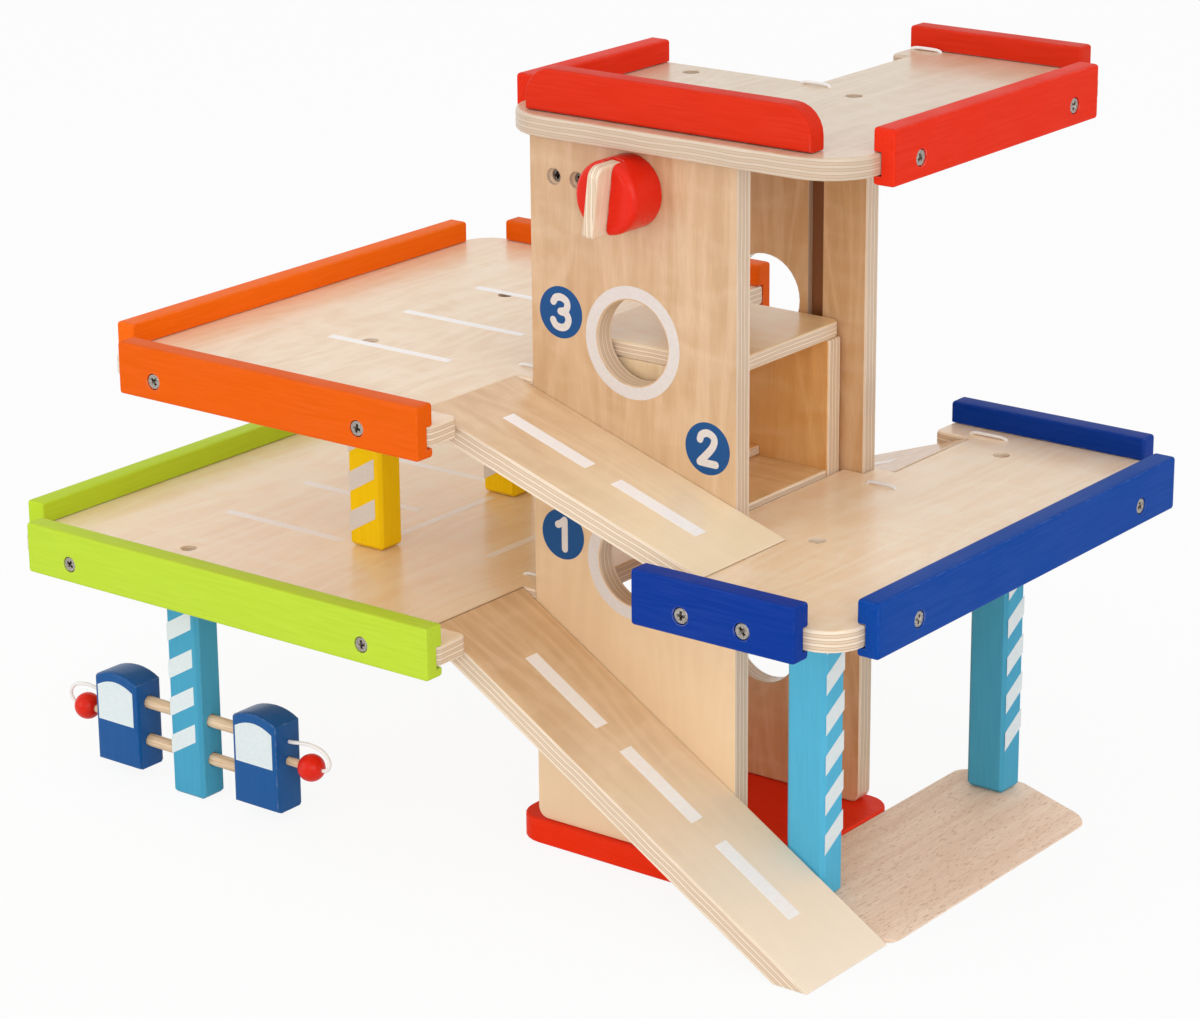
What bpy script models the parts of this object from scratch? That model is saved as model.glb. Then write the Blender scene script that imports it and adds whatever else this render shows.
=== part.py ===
"""Wooden toy parking garage: a lift tower with a roof deck, three parking decks and three ramps.

Metres, +Z up. The driving dimensions are counted from the tower: X from its left end, Y from its
front face and Z from the ground. Everything hangs on one empty, which moves the origin to the
middle of the garage's footprint, on the ground.
"""
import math

import bmesh
import bpy
from mathutils import Euler, Matrix, Vector

MM = 0.001
GAP = 0.3 * MM
CUT_MARGIN = 5.0 * MM
WELD = 0.01 * MM
ARC_STEPS = 6
FLAT_ANGLE = math.radians(1.0)
EDGE_ANGLE = math.radians(40.0)
RIM = "bevel_weight_edge"

# Plywood boards
PLY = 9.5 * MM
PLY_ROUNDING = 0.7 * MM
DECK_ROUNDING = 1.4 * MM

# Tower
WALL_LENGTH = 108.0 * MM
SHAFT_WIDTH = 87.0 * MM
WALL_FOOT_RADIUS = 5.0 * MM
WINDOW_DIAMETER = 37.5 * MM
WINDOW_STEPS = 36
WINDOW_ABOVE_DECK = 25.0 * MM
LOW_WINDOW_ABOVE_DECK = 22.0 * MM
BACK_WINDOW_ABOVE_BASE = 66.0 * MM
GUIDE_GROOVE_WIDTH = 8.0 * MM
GUIDE_GROOVE_DEPTH = 3.3 * MM
GUIDE_GROOVE_INSET = 26.5 * MM
CROSS_BOARD_LENGTH = 25.5 * MM
CROSS_BOARD_INSET = 6.0 * MM
CROSS_BOARD_DROP = 13.0 * MM
CROSS_SCREW_INSET = 6.7 * MM

# Base board and beech plate, both on the ground
BASE_THICKNESS = 11.6 * MM
BASE_MARGIN_ENDS = 12.0 * MM
BASE_MARGIN_SIDES = 3.1 * MM
BASE_RADIUS = 13.0 * MM
PLATE_THICKNESS = 10.6 * MM
PLATE_LENGTH = 68.3 * MM
PLATE_FLAT_LENGTH = 33.5 * MM
PLATE_BACK_MARGIN = 11.0 * MM
PLATE_TIP_THICKNESS = 1.0 * MM
PLATE_RADIUS = 8.0 * MM
PLATE_ROUNDING = 0.6 * MM

# Tops of the decks above the ground
GREEN_TOP = 120.0 * MM
BLUE_TOP = 169.7 * MM
ORANGE_TOP = 216.9 * MM
ROOF_TOP = 336.0 * MM

# Parking decks, counted from the tower's faces
DECK_FRONT_REACH = 82.5 * MM
DECK_BACK_REACH = 80.2 * MM
GREEN_REACH = 244.5 * MM
ORANGE_REACH = 179.9 * MM
BLUE_REACH = 108.3 * MM
GREEN_SETBACK = 7.5 * MM
ORANGE_SETBACK = 9.9 * MM
BLUE_SETBACK = 10.3 * MM
TAB_LENGTH = 18.9 * MM
SHAFT_LIP = 10.5 * MM
DECK_RADIUS = 17.0 * MM
TAB_RADIUS = 4.0 * MM

# Roof deck
ROOF_SIDE_MARGIN = 8.4 * MM
ROOF_LEFT_MARGIN = 14.0 * MM
ROOF_RIGHT_REACH = 58.7 * MM
ROOF_ARM_WIDTH = 97.9 * MM
ROOF_ARM_REACH = 100.9 * MM
ROOF_TAB_LENGTH = 8.8 * MM
ROOF_TAB_WIDTH = 20.9 * MM
ROOF_RADIUS = 25.0 * MM
ROOF_HOLE_SPREAD = 43.3 * MM

# Rails: painted laths with a groove that takes the deck's edge
RAIL_WIDTH = 10.6 * MM
RAIL_HEIGHT = 24.0 * MM
RAIL_RISE = 10.3 * MM
RAIL_BITE = 4.2 * MM
RAIL_ROUNDING = 1.5 * MM
RAIL_OVERHANG = 0.5 * MM
BLUE_FRONT_RAIL_INSET = 1.2 * MM
GREEN_SCREW_INSETS = (27.0 * MM, 37.0 * MM)
ORANGE_SCREW_INSETS = (21.2 * MM, 33.5 * MM)
BLUE_FRONT_SCREW_INSET = 25.0 * MM
BLUE_RIGHT_SCREW_INSET = 29.6 * MM
ROOF_SCREW_INSET = 20.0 * MM
STANDING_RAIL_HEIGHT = 19.0 * MM
STANDING_RAIL_SETBACK = 6.2 * MM
STANDING_RAIL_START = 13.0 * MM
STANDING_RAIL_LENGTH = 146.5 * MM
STANDING_RAIL_RADIUS = 13.0 * MM
ROOF_RIGHT_RAIL_END_GAP = 29.2 * MM
ROOF_BACK_RAIL_END_GAP = 17.9 * MM

# Ramps
RAMP_WIDTH = 59.5 * MM
RAMP_SIDE_GAP = 1.4 * MM
RAMP_FOOT = 18.0 * MM
RAMP_TIP = 0.6 * MM
LOW_RAMP_REACH = 80.5 * MM

# Columns
COLUMN_WIDTH = 19.8 * MM
COLUMN_DEPTH = 15.4 * MM
COLUMN_ROUNDING = 1.8 * MM
BLUE_COLUMN_REACH = 35.8 * MM
BLUE_COLUMN_FRONT = 8.3 * MM
BLUE_COLUMN_BACK_REACH = 47.6 * MM
GREEN_COLUMN_REACH = 163.1 * MM
PUMP_COLUMN_FRONT_REACH = 49.7 * MM
GREEN_COLUMN_BACK_REACH = 57.0 * MM
YELLOW_COLUMN_REACH = 97.0 * MM

# Fuel pumps with their dowels, nozzles and hoses
PUMP_WIDTH = 27.5 * MM
PUMP_DEPTH = 17.2 * MM
PUMP_HEIGHT = 46.1 * MM
PUMP_SHOULDER = 42.4 * MM
PUMP_CLEARANCE = 5.4 * MM
PUMP_OFFSET = 43.75 * MM
PUMP_ROUNDING = 2.4 * MM
PUMP_ARCH_STEPS = 8
DOWEL_DIAMETER = 6.0 * MM
DOWEL_DEPTH = 9.0 * MM
LOW_DOWEL_HEIGHT = 18.6 * MM
HIGH_DOWEL_HEIGHT = 37.6 * MM
LEFT_NOZZLE_HEIGHT = 26.3 * MM
RIGHT_NOZZLE_HEIGHT = 29.2 * MM
BALL_DIAMETER = 12.9 * MM
BALL_OFFSET = 13.6 * MM
BALL_BORE_DEPTH = 4.5 * MM
PEG_DIAMETER = 4.0 * MM
PEG_DEPTH = 7.0 * MM
HOSE_DIAMETER = 1.8 * MM
HOSE_RISE = 9.5 * MM
HOSE_STEPS = 4

# Lift cabin, resting a step above the blue deck
CABIN_RISE = 2.3 * MM
CABIN_CLEARANCE = 0.5 * MM
CABIN_SIDE_CLEARANCE = 1.5 * MM
CABIN_BOARD = 7.0 * MM
CABIN_WALL = 9.5 * MM
CABIN_WALL_INSET = 0.9 * MM
CABIN_HEADROOM = 58.6 * MM
CABIN_RADIUS = 6.0 * MM
STOP_LENGTH = 14.0 * MM
STOP_HEIGHT = 4.5 * MM

# Lift knob on its axle
KNOB_ROOF_CLEARANCE = 2.3 * MM
KNOB_DIAMETER = 32.0 * MM
KNOB_THICKNESS = 19.0 * MM
KNOB_TURN = math.radians(7.0)
KNOB_ROUNDING = 3.5 * MM
KNOB_STEPS = 40
GRIP_THICKNESS = 5.5 * MM
GRIP_END_INSET = 0.6 * MM
GRIP_SLOT_DEPTH = 8.0 * MM
GRIP_PROTRUSION = 9.5 * MM
GRIP_TOP_RADIUS = 5.0 * MM
GRIP_RADIUS = 1.5 * MM
AXLE_DIAMETER = 8.0 * MM
AXLE_KNOB_DEPTH = 9.0 * MM
AXLE_WALL_DEPTH = 5.0 * MM

# Screws
SCREW_HEAD_DIAMETER = 7.0 * MM
SCREW_RIM = 0.8 * MM
SCREW_CONE = 2.4 * MM
SCREW_SHANK_DIAMETER = 3.0 * MM
SCREW_LENGTH = 20.0 * MM
SCREW_SINK = 0.5 * MM
SCREW_STEPS = 12

# Sides of the round rods and balls
ROD_STEPS = 16
PEG_STEPS = 12
AXLE_STEPS = 20
BALL_STEPS = 16
BALL_RINGS = 10

# Places that follow from the sizes above
tower_back = 2 * PLY + SHAFT_WIDTH
shaft_front = PLY
shaft_back = PLY + SHAFT_WIDTH
wall_bottom = BASE_THICKNESS + GAP
wall_top = ROOF_TOP - PLY - GAP
deck_front = -DECK_FRONT_REACH
deck_back = tower_back + DECK_BACK_REACH
green_joint = -GREEN_SETBACK
orange_joint = -ORANGE_SETBACK
blue_joint = WALL_LENGTH + BLUE_SETBACK
front_notch = -(GAP + RAMP_WIDTH + RAMP_SIDE_GAP)
back_notch = tower_back - front_notch
blue_right = WALL_LENGTH + BLUE_REACH
blue_tab = blue_joint - TAB_LENGTH
roof_left = -ROOF_LEFT_MARGIN
roof_right = WALL_LENGTH + ROOF_RIGHT_REACH
roof_front = -ROOF_SIDE_MARGIN
roof_shoulder = tower_back + ROOF_SIDE_MARGIN
roof_back = tower_back + ROOF_ARM_REACH
roof_arm = roof_right - ROOF_ARM_WIDTH
roof_tab = roof_arm - ROOF_TAB_LENGTH
tower_middle = WALL_LENGTH / 2
groove_places = (GUIDE_GROOVE_INSET, WALL_LENGTH - GUIDE_GROOVE_INSET)
cabin_left = SHAFT_LIP + CABIN_CLEARANCE
cabin_right = WALL_LENGTH - cabin_left
cabin_front = shaft_front + CABIN_SIDE_CLEARANCE
cabin_back = shaft_back - CABIN_SIDE_CLEARANCE
knob_height = ROOF_TOP - PLY - KNOB_ROOF_CLEARANCE - KNOB_DIAMETER / 2
footprint_middle = ((blue_right - GREEN_REACH) / 2, (roof_back + deck_front) / 2)


def clear_scene():
    """Removes every object that a new file starts with."""
    for old in list(bpy.data.objects):
        bpy.data.objects.remove(old, do_unlink=True)


clear_scene()
parts = bpy.data.collections.new("toy_parking_garage")
cutters = bpy.data.collections.new("cutters")
bpy.context.scene.collection.children.link(parts)
bpy.context.scene.collection.children.link(cutters)


def add_empty(name, place, parent=None):
    """An empty at a place counted from its parent."""
    empty = bpy.data.objects.new(name, None)
    empty.location = place
    empty.parent = parent
    parts.objects.link(empty)
    return empty


garage = add_empty("garage_origin", (-footprint_middle[0], -footprint_middle[1], 0.0))


def linear(level):
    """One channel of a screen colour, from 0 to 255, as the linear value that a shader takes."""
    share = level / 255
    if share <= 0.04045:
        return share / 12.92
    return ((share + 0.055) / 1.055) ** 2.4


def make_material(name, colour, roughness, metallic=0.0):
    """A Principled BSDF material of one colour."""
    material = bpy.data.materials.new(name)
    material.use_nodes = True
    shader = material.node_tree.nodes["Principled BSDF"]
    shader.inputs["Base Color"].default_value = [linear(level) for level in colour] + [1.0]
    shader.inputs["Roughness"].default_value = roughness
    shader.inputs["Metallic"].default_value = metallic
    return material


birch = make_material("birch_plywood", (232, 200, 160), 0.45)
beech = make_material("beech_wood", (214, 180, 150), 0.5)
dowel_wood = make_material("dowel_wood", (236, 206, 168), 0.5)
red_paint = make_material("red_paint", (226, 50, 24), 0.35)
orange_paint = make_material("orange_paint", (238, 98, 4), 0.35)
green_paint = make_material("green_paint", (190, 222, 60), 0.35)
blue_paint = make_material("blue_paint", (28, 72, 158), 0.35)
light_blue_paint = make_material("light_blue_paint", (88, 176, 208), 0.35)
yellow_paint = make_material("yellow_paint", (252, 198, 32), 0.35)
pump_paint = make_material("pump_blue_paint", (22, 72, 142), 0.35)
white_cord = make_material("white_cord", (240, 238, 236), 0.6)
screw_steel = make_material("dark_steel", (96, 90, 84), 0.35, metallic=1.0)


def add_part(name, mesh, material, parent=garage):
    """A named part from a mesh whose points are counted from the tower."""
    part = bpy.data.objects.new(name, mesh)
    mesh.name = name
    mesh.materials.clear()
    mesh.materials.append(material)
    parts.objects.link(part)
    hang_on(part, parent)
    return part


def hang_on(part, parent):
    """Hangs a part on an empty and keeps its own place counted from the tower."""
    part.parent = parent
    if parent is not garage:
        part.matrix_parent_inverse = Matrix.Translation(-parent.location)


def add_cutter(name, mesh):
    """A mesh that only cuts others: hidden in renders and drawn as wire."""
    cutter = bpy.data.objects.new(name, mesh)
    cutter.hide_render = True
    cutter.display_type = "WIRE"
    cutters.objects.link(cutter)
    cutter.parent = garage
    return cutter


def cut(part, mesh):
    """Cuts a mesh, counted from the tower, out of a part."""
    cutter = add_cutter(part.name + "_cut", mesh)
    difference = part.modifiers.new("Cut", "BOOLEAN")
    difference.operation = "DIFFERENCE"
    difference.solver = "EXACT"
    difference.object = cutter
    return difference


def round_edges(part, width, segments=1):
    """Rounds a part's sharp edges, or only the rims of a board's two faces."""
    bevel = part.modifiers.new("Rounded edges", "BEVEL")
    bevel.width = width
    bevel.segments = segments
    bevel.limit_method = "ANGLE"
    bevel.angle_limit = EDGE_ANGLE
    if RIM in part.data.attributes:
        bevel.limit_method = "WEIGHT"
    return bevel


def box_mesh(low, high):
    """A box between two corners."""
    shape = bmesh.new()
    bmesh.ops.create_cube(shape, size=1.0)
    size = [b - a for a, b in zip(low, high)]
    middle = [(a + b) / 2 for a, b in zip(low, high)]
    bmesh.ops.scale(shape, vec=size, verts=shape.verts)
    bmesh.ops.translate(shape, vec=middle, verts=shape.verts)
    return as_mesh(shape)


def as_mesh(shape):
    """Turns an edit mesh into a mesh and frees it."""
    mesh = bpy.data.meshes.new("shape")
    shape.to_mesh(mesh)
    shape.free()
    return mesh


def rod_mesh(start, direction, length, diameter, steps=ROD_STEPS):
    """A straight round rod from its start, along a direction."""
    shape = bmesh.new()
    bmesh.ops.create_cone(
        shape, cap_ends=True, segments=steps,
        radius1=diameter / 2, radius2=diameter / 2, depth=length,
    )
    turn = Vector(direction).to_track_quat("Z", "Y").to_matrix().to_4x4()
    middle = Vector(start) + Vector(direction) * length / 2
    bmesh.ops.transform(shape, matrix=Matrix.Translation(middle) @ turn, verts=shape.verts)
    return as_mesh(shape)


def joined(meshes):
    """One mesh that holds several separate solids."""
    shape = bmesh.new()
    for mesh in meshes:
        shape.from_mesh(mesh)
        bpy.data.meshes.remove(mesh)
    return as_mesh(shape)


def shade_round(part):
    """Shades a round part smooth and keeps its sharp edges."""
    part.data.shade_smooth()
    part.data.set_sharp_from_angle(angle=EDGE_ANGLE)


def evaluated_mesh(drawn):
    """The evaluated, welded mesh of a helper object, which is removed."""
    bpy.context.scene.collection.objects.link(drawn)
    bpy.context.view_layer.update()
    seen = drawn.evaluated_get(bpy.context.evaluated_depsgraph_get())
    mesh = bpy.data.meshes.new_from_object(seen)
    mesh.transform(drawn.matrix_world)
    shape = bmesh.new()
    shape.from_mesh(mesh)
    bmesh.ops.remove_doubles(shape, verts=shape.verts, dist=WELD)
    bmesh.ops.recalc_face_normals(shape, faces=shape.faces)
    shape.to_mesh(mesh)
    shape.free()
    bpy.data.objects.remove(drawn, do_unlink=True)
    return mesh


def merge_flat_faces(mesh, normal):
    """Merges the triangles of each flat face, and marks the rims of a board's two faces."""
    shape = bmesh.new()
    shape.from_mesh(mesh)
    bmesh.ops.dissolve_limit(
        shape, angle_limit=FLAT_ANGLE, use_dissolve_boundaries=False,
        verts=shape.verts, edges=shape.edges,
    )
    weight = shape.edges.layers.float.new(RIM)
    for edge in shape.edges:
        broad = [abs(face.normal.dot(normal)) > 0.5 for face in edge.link_faces]
        edge[weight] = 1.0 if sorted(broad) == [False, True] else 0.0
    shape.to_mesh(mesh)
    shape.free()


def rounded_outline(corners):
    """A closed outline through (x, y, radius) corners, with an arc where the radius isn't 0."""
    points = []
    for index, (x, y, radius) in enumerate(corners):
        corner = Vector((x, y))
        if radius == 0:
            points.append(corner)
            continue
        before = (Vector(corners[index - 1][:2]) - corner).normalized()
        after = (Vector(corners[(index + 1) % len(corners)][:2]) - corner).normalized()
        half_angle = before.angle(after) / 2
        centre = corner + (before + after).normalized() * radius / math.sin(half_angle)
        start = corner + before * radius / math.tan(half_angle) - centre
        end = corner + after * radius / math.tan(half_angle) - centre
        first = math.atan2(start.y, start.x)
        turn = math.remainder(math.atan2(end.y, end.x) - first, math.tau)
        for step in range(ARC_STEPS + 1):
            angle = first + turn * step / ARC_STEPS
            points.append(centre + radius * Vector((math.cos(angle), math.sin(angle))))
    return points


def circle_outline(x, y, diameter, steps):
    """A closed round outline."""
    turns = [math.tau * step / steps for step in range(steps)]
    radius = diameter / 2
    return [Vector((x + radius * math.cos(a), y + radius * math.sin(a))) for a in turns]


def outline_mesh(outlines, thickness, place, turn=(0.0, 0.0, 0.0)):
    """A flat board: the first outline is its rim, and the others are holes."""
    curve = bpy.data.curves.new("outline", "CURVE")
    curve.dimensions = "2D"
    curve.fill_mode = "BOTH"
    curve.extrude = thickness / 2
    for outline in outlines:
        spline = curve.splines.new("POLY")
        spline.points.add(len(outline) - 1)
        for point, (x, y) in zip(spline.points, outline):
            point.co = (x, y, 0.0, 1.0)
        spline.use_cyclic_u = True
    drawn = bpy.data.objects.new("outline", curve)
    drawn.location = place
    drawn.rotation_euler = turn
    mesh = evaluated_mesh(drawn)
    merge_flat_faces(mesh, Euler(turn).to_matrix() @ Vector((0.0, 0.0, 1.0)))
    return mesh


def level_board(outline, top, thickness, holes=()):
    """A board that lies flat, with its upper face at a height."""
    return outline_mesh([outline, *holes], thickness, (0.0, 0.0, top - thickness / 2))


def upright_board(outline, front, thickness, holes=()):
    """A board that stands along X and Z, with its front face at a Y."""
    quarter = (math.pi / 2, 0.0, 0.0)
    return outline_mesh([outline, *holes], thickness, (0.0, front + thickness / 2, 0.0), quarter)


def turned_mesh(profile, steps, place=Matrix.Identity(4)):
    """A turned solid from an (x, z) profile that runs from the axis at the top to the bottom."""
    shape = bmesh.new()
    points = [shape.verts.new((x, 0.0, z)) for x, z in profile]
    for upper, lower in zip(points, points[1:]):
        shape.edges.new((upper, lower))
    drawn = bpy.data.objects.new("profile", as_mesh(shape))
    screw = drawn.modifiers.new("Turned", "SCREW")
    screw.axis = "Z"
    screw.steps = steps
    screw.render_steps = steps
    screw.use_merge_vertices = True
    screw.merge_threshold = WELD
    mesh = evaluated_mesh(drawn)
    mesh.transform(place)
    return mesh


def tube_mesh(points, diameter, resolution=2):
    """A round tube through points, with closed ends."""
    curve = bpy.data.curves.new("tube", "CURVE")
    curve.dimensions = "3D"
    curve.bevel_depth = diameter / 2
    curve.bevel_resolution = resolution
    curve.use_fill_caps = True
    spline = curve.splines.new("POLY")
    spline.points.add(len(points) - 1)
    for point, place in zip(spline.points, points):
        point.co = (*place, 1.0)
    return evaluated_mesh(bpy.data.objects.new("tube", curve))


def smooth_route(points, steps):
    """Points along a smooth curve through a route's own points."""
    padded = [2 * points[0] - points[1], *points, 2 * points[-1] - points[-2]]
    route = []
    for p0, p1, p2, p3 in zip(padded, padded[1:], padded[2:], padded[3:]):
        for step in range(steps):
            t = step / steps
            route.append(
                0.5 * (2 * p1 + (p2 - p0) * t + (2 * p0 - 5 * p1 + 4 * p2 - p3) * t**2
                       + (3 * p1 - p0 - 3 * p2 + p3) * t**3)
            )
    return [*route, points[-1]]


# Screws: each place is a matrix whose +Z points out of the surface that the head sits in

HEAD_DIRECTIONS = {
    "up": Matrix.Identity(4),
    "+x": Matrix.Rotation(math.pi / 2, 4, "Y"),
    "-y": Matrix.Rotation(math.pi / 2, 4, "X"),
}
screw_profile = [
    (0.0, 0.0),
    (SCREW_HEAD_DIAMETER / 2, 0.0),
    (SCREW_HEAD_DIAMETER / 2, -SCREW_RIM),
    (SCREW_SHANK_DIAMETER / 2, -SCREW_RIM - SCREW_CONE),
    (SCREW_SHANK_DIAMETER / 2, -SCREW_LENGTH),
    (0.0, -SCREW_LENGTH),
]
bore_profile = [
    (0.0, CUT_MARGIN),
    (SCREW_HEAD_DIAMETER / 2 + GAP, CUT_MARGIN),
    (SCREW_HEAD_DIAMETER / 2 + GAP, -SCREW_RIM - GAP),
    (SCREW_SHANK_DIAMETER / 2 + GAP, -SCREW_RIM - SCREW_CONE - GAP),
    (SCREW_SHANK_DIAMETER / 2 + GAP, -SCREW_LENGTH - GAP),
    (0.0, -SCREW_LENGTH - GAP),
]


def screw_place(point, direction):
    """Where a screw sits: its head is sunk a little below the surface at a point."""
    turn = HEAD_DIRECTIONS[direction]
    return Matrix.Translation(point) @ turn @ Matrix.Translation((0.0, 0.0, -SCREW_SINK))


def bore(part, places):
    """Cuts the bores of several screws out of a part."""
    cut(part, joined([turned_mesh(bore_profile, SCREW_STEPS, place) for place in places]))


def add_screw(name, place):
    """A countersunk screw in its place."""
    shade_round(add_part(name, turned_mesh(screw_profile, SCREW_STEPS, place), screw_steel))


def add_rail(name, axis, start, end, edge, outward, deck_top, paint):
    """A grooved rail along X (axis 0) or Y (axis 1) on a deck's edge. Returns it with its outer face."""
    across = 1 - axis
    inner = edge + outward * (GAP - RAIL_BITE)
    outer = inner + outward * RAIL_WIDTH
    low = [0.0, 0.0, deck_top + RAIL_RISE - RAIL_HEIGHT]
    high = [0.0, 0.0, deck_top + RAIL_RISE]
    low[axis], high[axis] = start, end
    low[across], high[across] = min(inner, outer), max(inner, outer)
    rail = add_part(name, box_mesh(low, high), paint)
    round_edges(rail, RAIL_ROUNDING, 2)
    groove_low = [0.0, 0.0, deck_top - PLY - GAP]
    groove_high = [0.0, 0.0, deck_top + GAP]
    groove_low[axis], groove_high[axis] = start - CUT_MARGIN, end + CUT_MARGIN
    reach = (inner - outward * CUT_MARGIN, edge + outward * GAP)
    groove_low[across], groove_high[across] = min(reach), max(reach)
    cut(rail, box_mesh(groove_low, groove_high))
    return rail, outer


def screw_rail(rail, axis, places_along, outer, outward, deck, deck_top):
    """Two screws through a rail into the deck's edge, named after the rail."""
    across = 1 - axis
    direction = ("-" if outward < 0 else "+") + "xy"[across]
    places = []
    for number, along in enumerate(places_along, start=1):
        point = [0.0, 0.0, deck_top - PLY / 2]
        point[axis] = along
        point[across] = outer
        place = screw_place(point, direction)
        places.append(place)
        add_screw(f"{rail.name}_screw_{number}", place)
    bore(rail, places)
    bore(deck, places)


# Tower


def add_base_board():
    """The red board that the tower stands on."""
    left, right = -BASE_MARGIN_ENDS, WALL_LENGTH + BASE_MARGIN_ENDS
    front, back = -BASE_MARGIN_SIDES, tower_back + BASE_MARGIN_SIDES
    corners = [(left, front), (right, front), (right, back), (left, back)]
    outline = rounded_outline([(x, y, BASE_RADIUS) for x, y in corners])
    board = add_part("base_board", level_board(outline, BASE_THICKNESS, BASE_THICKNESS), red_paint)
    round_edges(board, PLY_ROUNDING)


def add_wall(name, front, inner, window_heights):
    """One tall wall of the tower, with round windows and two guide grooves on its inner face."""
    corners = [
        (0.0, wall_bottom, WALL_FOOT_RADIUS),
        (WALL_LENGTH, wall_bottom, WALL_FOOT_RADIUS),
        (WALL_LENGTH, wall_top, 0.0),
        (0.0, wall_top, 0.0),
    ]
    windows = [
        circle_outline(tower_middle, height, WINDOW_DIAMETER, WINDOW_STEPS)
        for height in window_heights
    ]
    mesh = upright_board(rounded_outline(corners), front, PLY, windows)
    wall = add_part(name, mesh, birch)
    round_edges(wall, PLY_ROUNDING)
    depth = GUIDE_GROOVE_DEPTH if inner > front else -GUIDE_GROOVE_DEPTH
    across = sorted((inner - depth, inner + math.copysign(CUT_MARGIN, depth)))
    half = GUIDE_GROOVE_WIDTH / 2
    grooves = [
        box_mesh(
            (x - half, across[0], wall_bottom - CUT_MARGIN),
            (x + half, across[1], wall_top + CUT_MARGIN),
        )
        for x in groove_places
    ]
    cut(wall, joined(grooves))
    return wall


def add_tower():
    """Both walls, and the cross board that ties them under the roof, with its screw holes."""
    front_windows = (
        ORANGE_TOP + WINDOW_ABOVE_DECK,
        GREEN_TOP + LOW_WINDOW_ABOVE_DECK,
    )
    back_windows = (
        ORANGE_TOP + WINDOW_ABOVE_DECK,
        BASE_THICKNESS + BACK_WINDOW_ABOVE_BASE,
    )
    front_wall = add_wall("wall_front", 0.0, shaft_front, front_windows)
    back_wall = add_wall("wall_back", shaft_back, shaft_back, back_windows)
    board_top = wall_top - CROSS_BOARD_DROP
    board_right = CROSS_BOARD_INSET + CROSS_BOARD_LENGTH
    low = (CROSS_BOARD_INSET, shaft_front + GAP, board_top - PLY)
    high = (board_right, shaft_back - GAP, board_top)
    board = add_part("cross_board", box_mesh(low, high), birch)
    round_edges(board, PLY_ROUNDING)
    columns = (CROSS_BOARD_INSET + CROSS_SCREW_INSET, board_right - CROSS_SCREW_INSET)
    places = [screw_place((x, 0.0, board_top - PLY / 2), "-y") for x in columns]
    bore(front_wall, places)
    bore(board, places)
    return front_wall, back_wall


# Decks


def left_deck_outline(reach, joint):
    """Outline of a deck on the tower's left: a notch for the ramp and a lip into the shaft."""
    tab = joint + TAB_LENGTH
    return rounded_outline([
        (-reach, deck_front, DECK_RADIUS),
        (tab, deck_front, TAB_RADIUS),
        (tab, front_notch, TAB_RADIUS),
        (joint, front_notch, 0.0),
        (joint, 0.0, 0.0),
        (-GAP, 0.0, 0.0),
        (-GAP, shaft_front + GAP, 0.0),
        (SHAFT_LIP, shaft_front + GAP, 0.0),
        (SHAFT_LIP, shaft_back - GAP, 0.0),
        (-GAP, shaft_back - GAP, 0.0),
        (-GAP, tower_back, 0.0),
        (joint, tower_back, 0.0),
        (joint, deck_back, 0.0),
        (-reach, deck_back, DECK_RADIUS),
    ])


def add_left_deck(colour, reach, joint, top, paint, screw_insets):
    """A deck on the tower's left with its three rails. Returns the deck."""
    name = colour + "_deck"
    deck = add_part(name, level_board(left_deck_outline(reach, joint), top, PLY), birch)
    round_edges(deck, DECK_ROUNDING, 2)
    corner = -reach + DECK_RADIUS
    front_end = joint + TAB_LENGTH + RAIL_OVERHANG
    back_end = joint + RAIL_OVERHANG
    side = (deck_front + DECK_RADIUS, deck_back - DECK_RADIUS)
    add_rail(colour + "_rail_left", 1, *side, -reach, -1, top, paint)
    add_rail(colour + "_rail_back", 0, corner, back_end, deck_back, 1, top, paint)
    rail, outer = add_rail(
        colour + "_rail_front", 0, corner, front_end, deck_front, -1, top, paint,
    )
    places_along = (corner + screw_insets[0], front_end - screw_insets[1])
    screw_rail(rail, 0, places_along, outer, -1, deck, top)
    return deck


def add_blue_deck():
    """The deck on the tower's right, with a notch behind the tower for the back ramp."""
    outline = rounded_outline([
        (blue_joint, deck_front, TAB_RADIUS),
        (blue_right, deck_front, DECK_RADIUS),
        (blue_right, deck_back, DECK_RADIUS),
        (blue_tab, deck_back, TAB_RADIUS),
        (blue_tab, back_notch, TAB_RADIUS),
        (blue_joint, back_notch, 0.0),
        (blue_joint, tower_back, 0.0),
        (WALL_LENGTH + GAP, tower_back, 0.0),
        (WALL_LENGTH + GAP, shaft_back - GAP, 0.0),
        (WALL_LENGTH - SHAFT_LIP, shaft_back - GAP, 0.0),
        (WALL_LENGTH - SHAFT_LIP, shaft_front + GAP, 0.0),
        (WALL_LENGTH + GAP, shaft_front + GAP, 0.0),
        (WALL_LENGTH + GAP, 0.0, 0.0),
        (blue_joint, 0.0, 0.0),
    ])
    deck = add_part("blue_deck", level_board(outline, BLUE_TOP, PLY), birch)
    round_edges(deck, DECK_ROUNDING, 2)
    corner = blue_right - DECK_RADIUS
    front_start = blue_joint + BLUE_FRONT_RAIL_INSET
    side = (deck_front + DECK_RADIUS, deck_back - DECK_RADIUS)
    back_start = blue_tab - RAIL_OVERHANG
    add_rail("blue_rail_back", 0, back_start, corner, deck_back, 1, BLUE_TOP, blue_paint)
    rail, outer = add_rail(
        "blue_rail_front", 0, front_start, corner, deck_front, -1, BLUE_TOP, blue_paint,
    )
    places_along = (front_start + BLUE_FRONT_SCREW_INSET, corner - BLUE_FRONT_SCREW_INSET)
    screw_rail(rail, 0, places_along, outer, -1, deck, BLUE_TOP)
    rail, outer = add_rail("blue_rail_right", 1, *side, blue_right, 1, BLUE_TOP, blue_paint)
    places_along = (side[0] + BLUE_RIGHT_SCREW_INSET, side[1] - BLUE_RIGHT_SCREW_INSET)
    screw_rail(rail, 1, places_along, outer, 1, deck, BLUE_TOP)
    return deck


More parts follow.
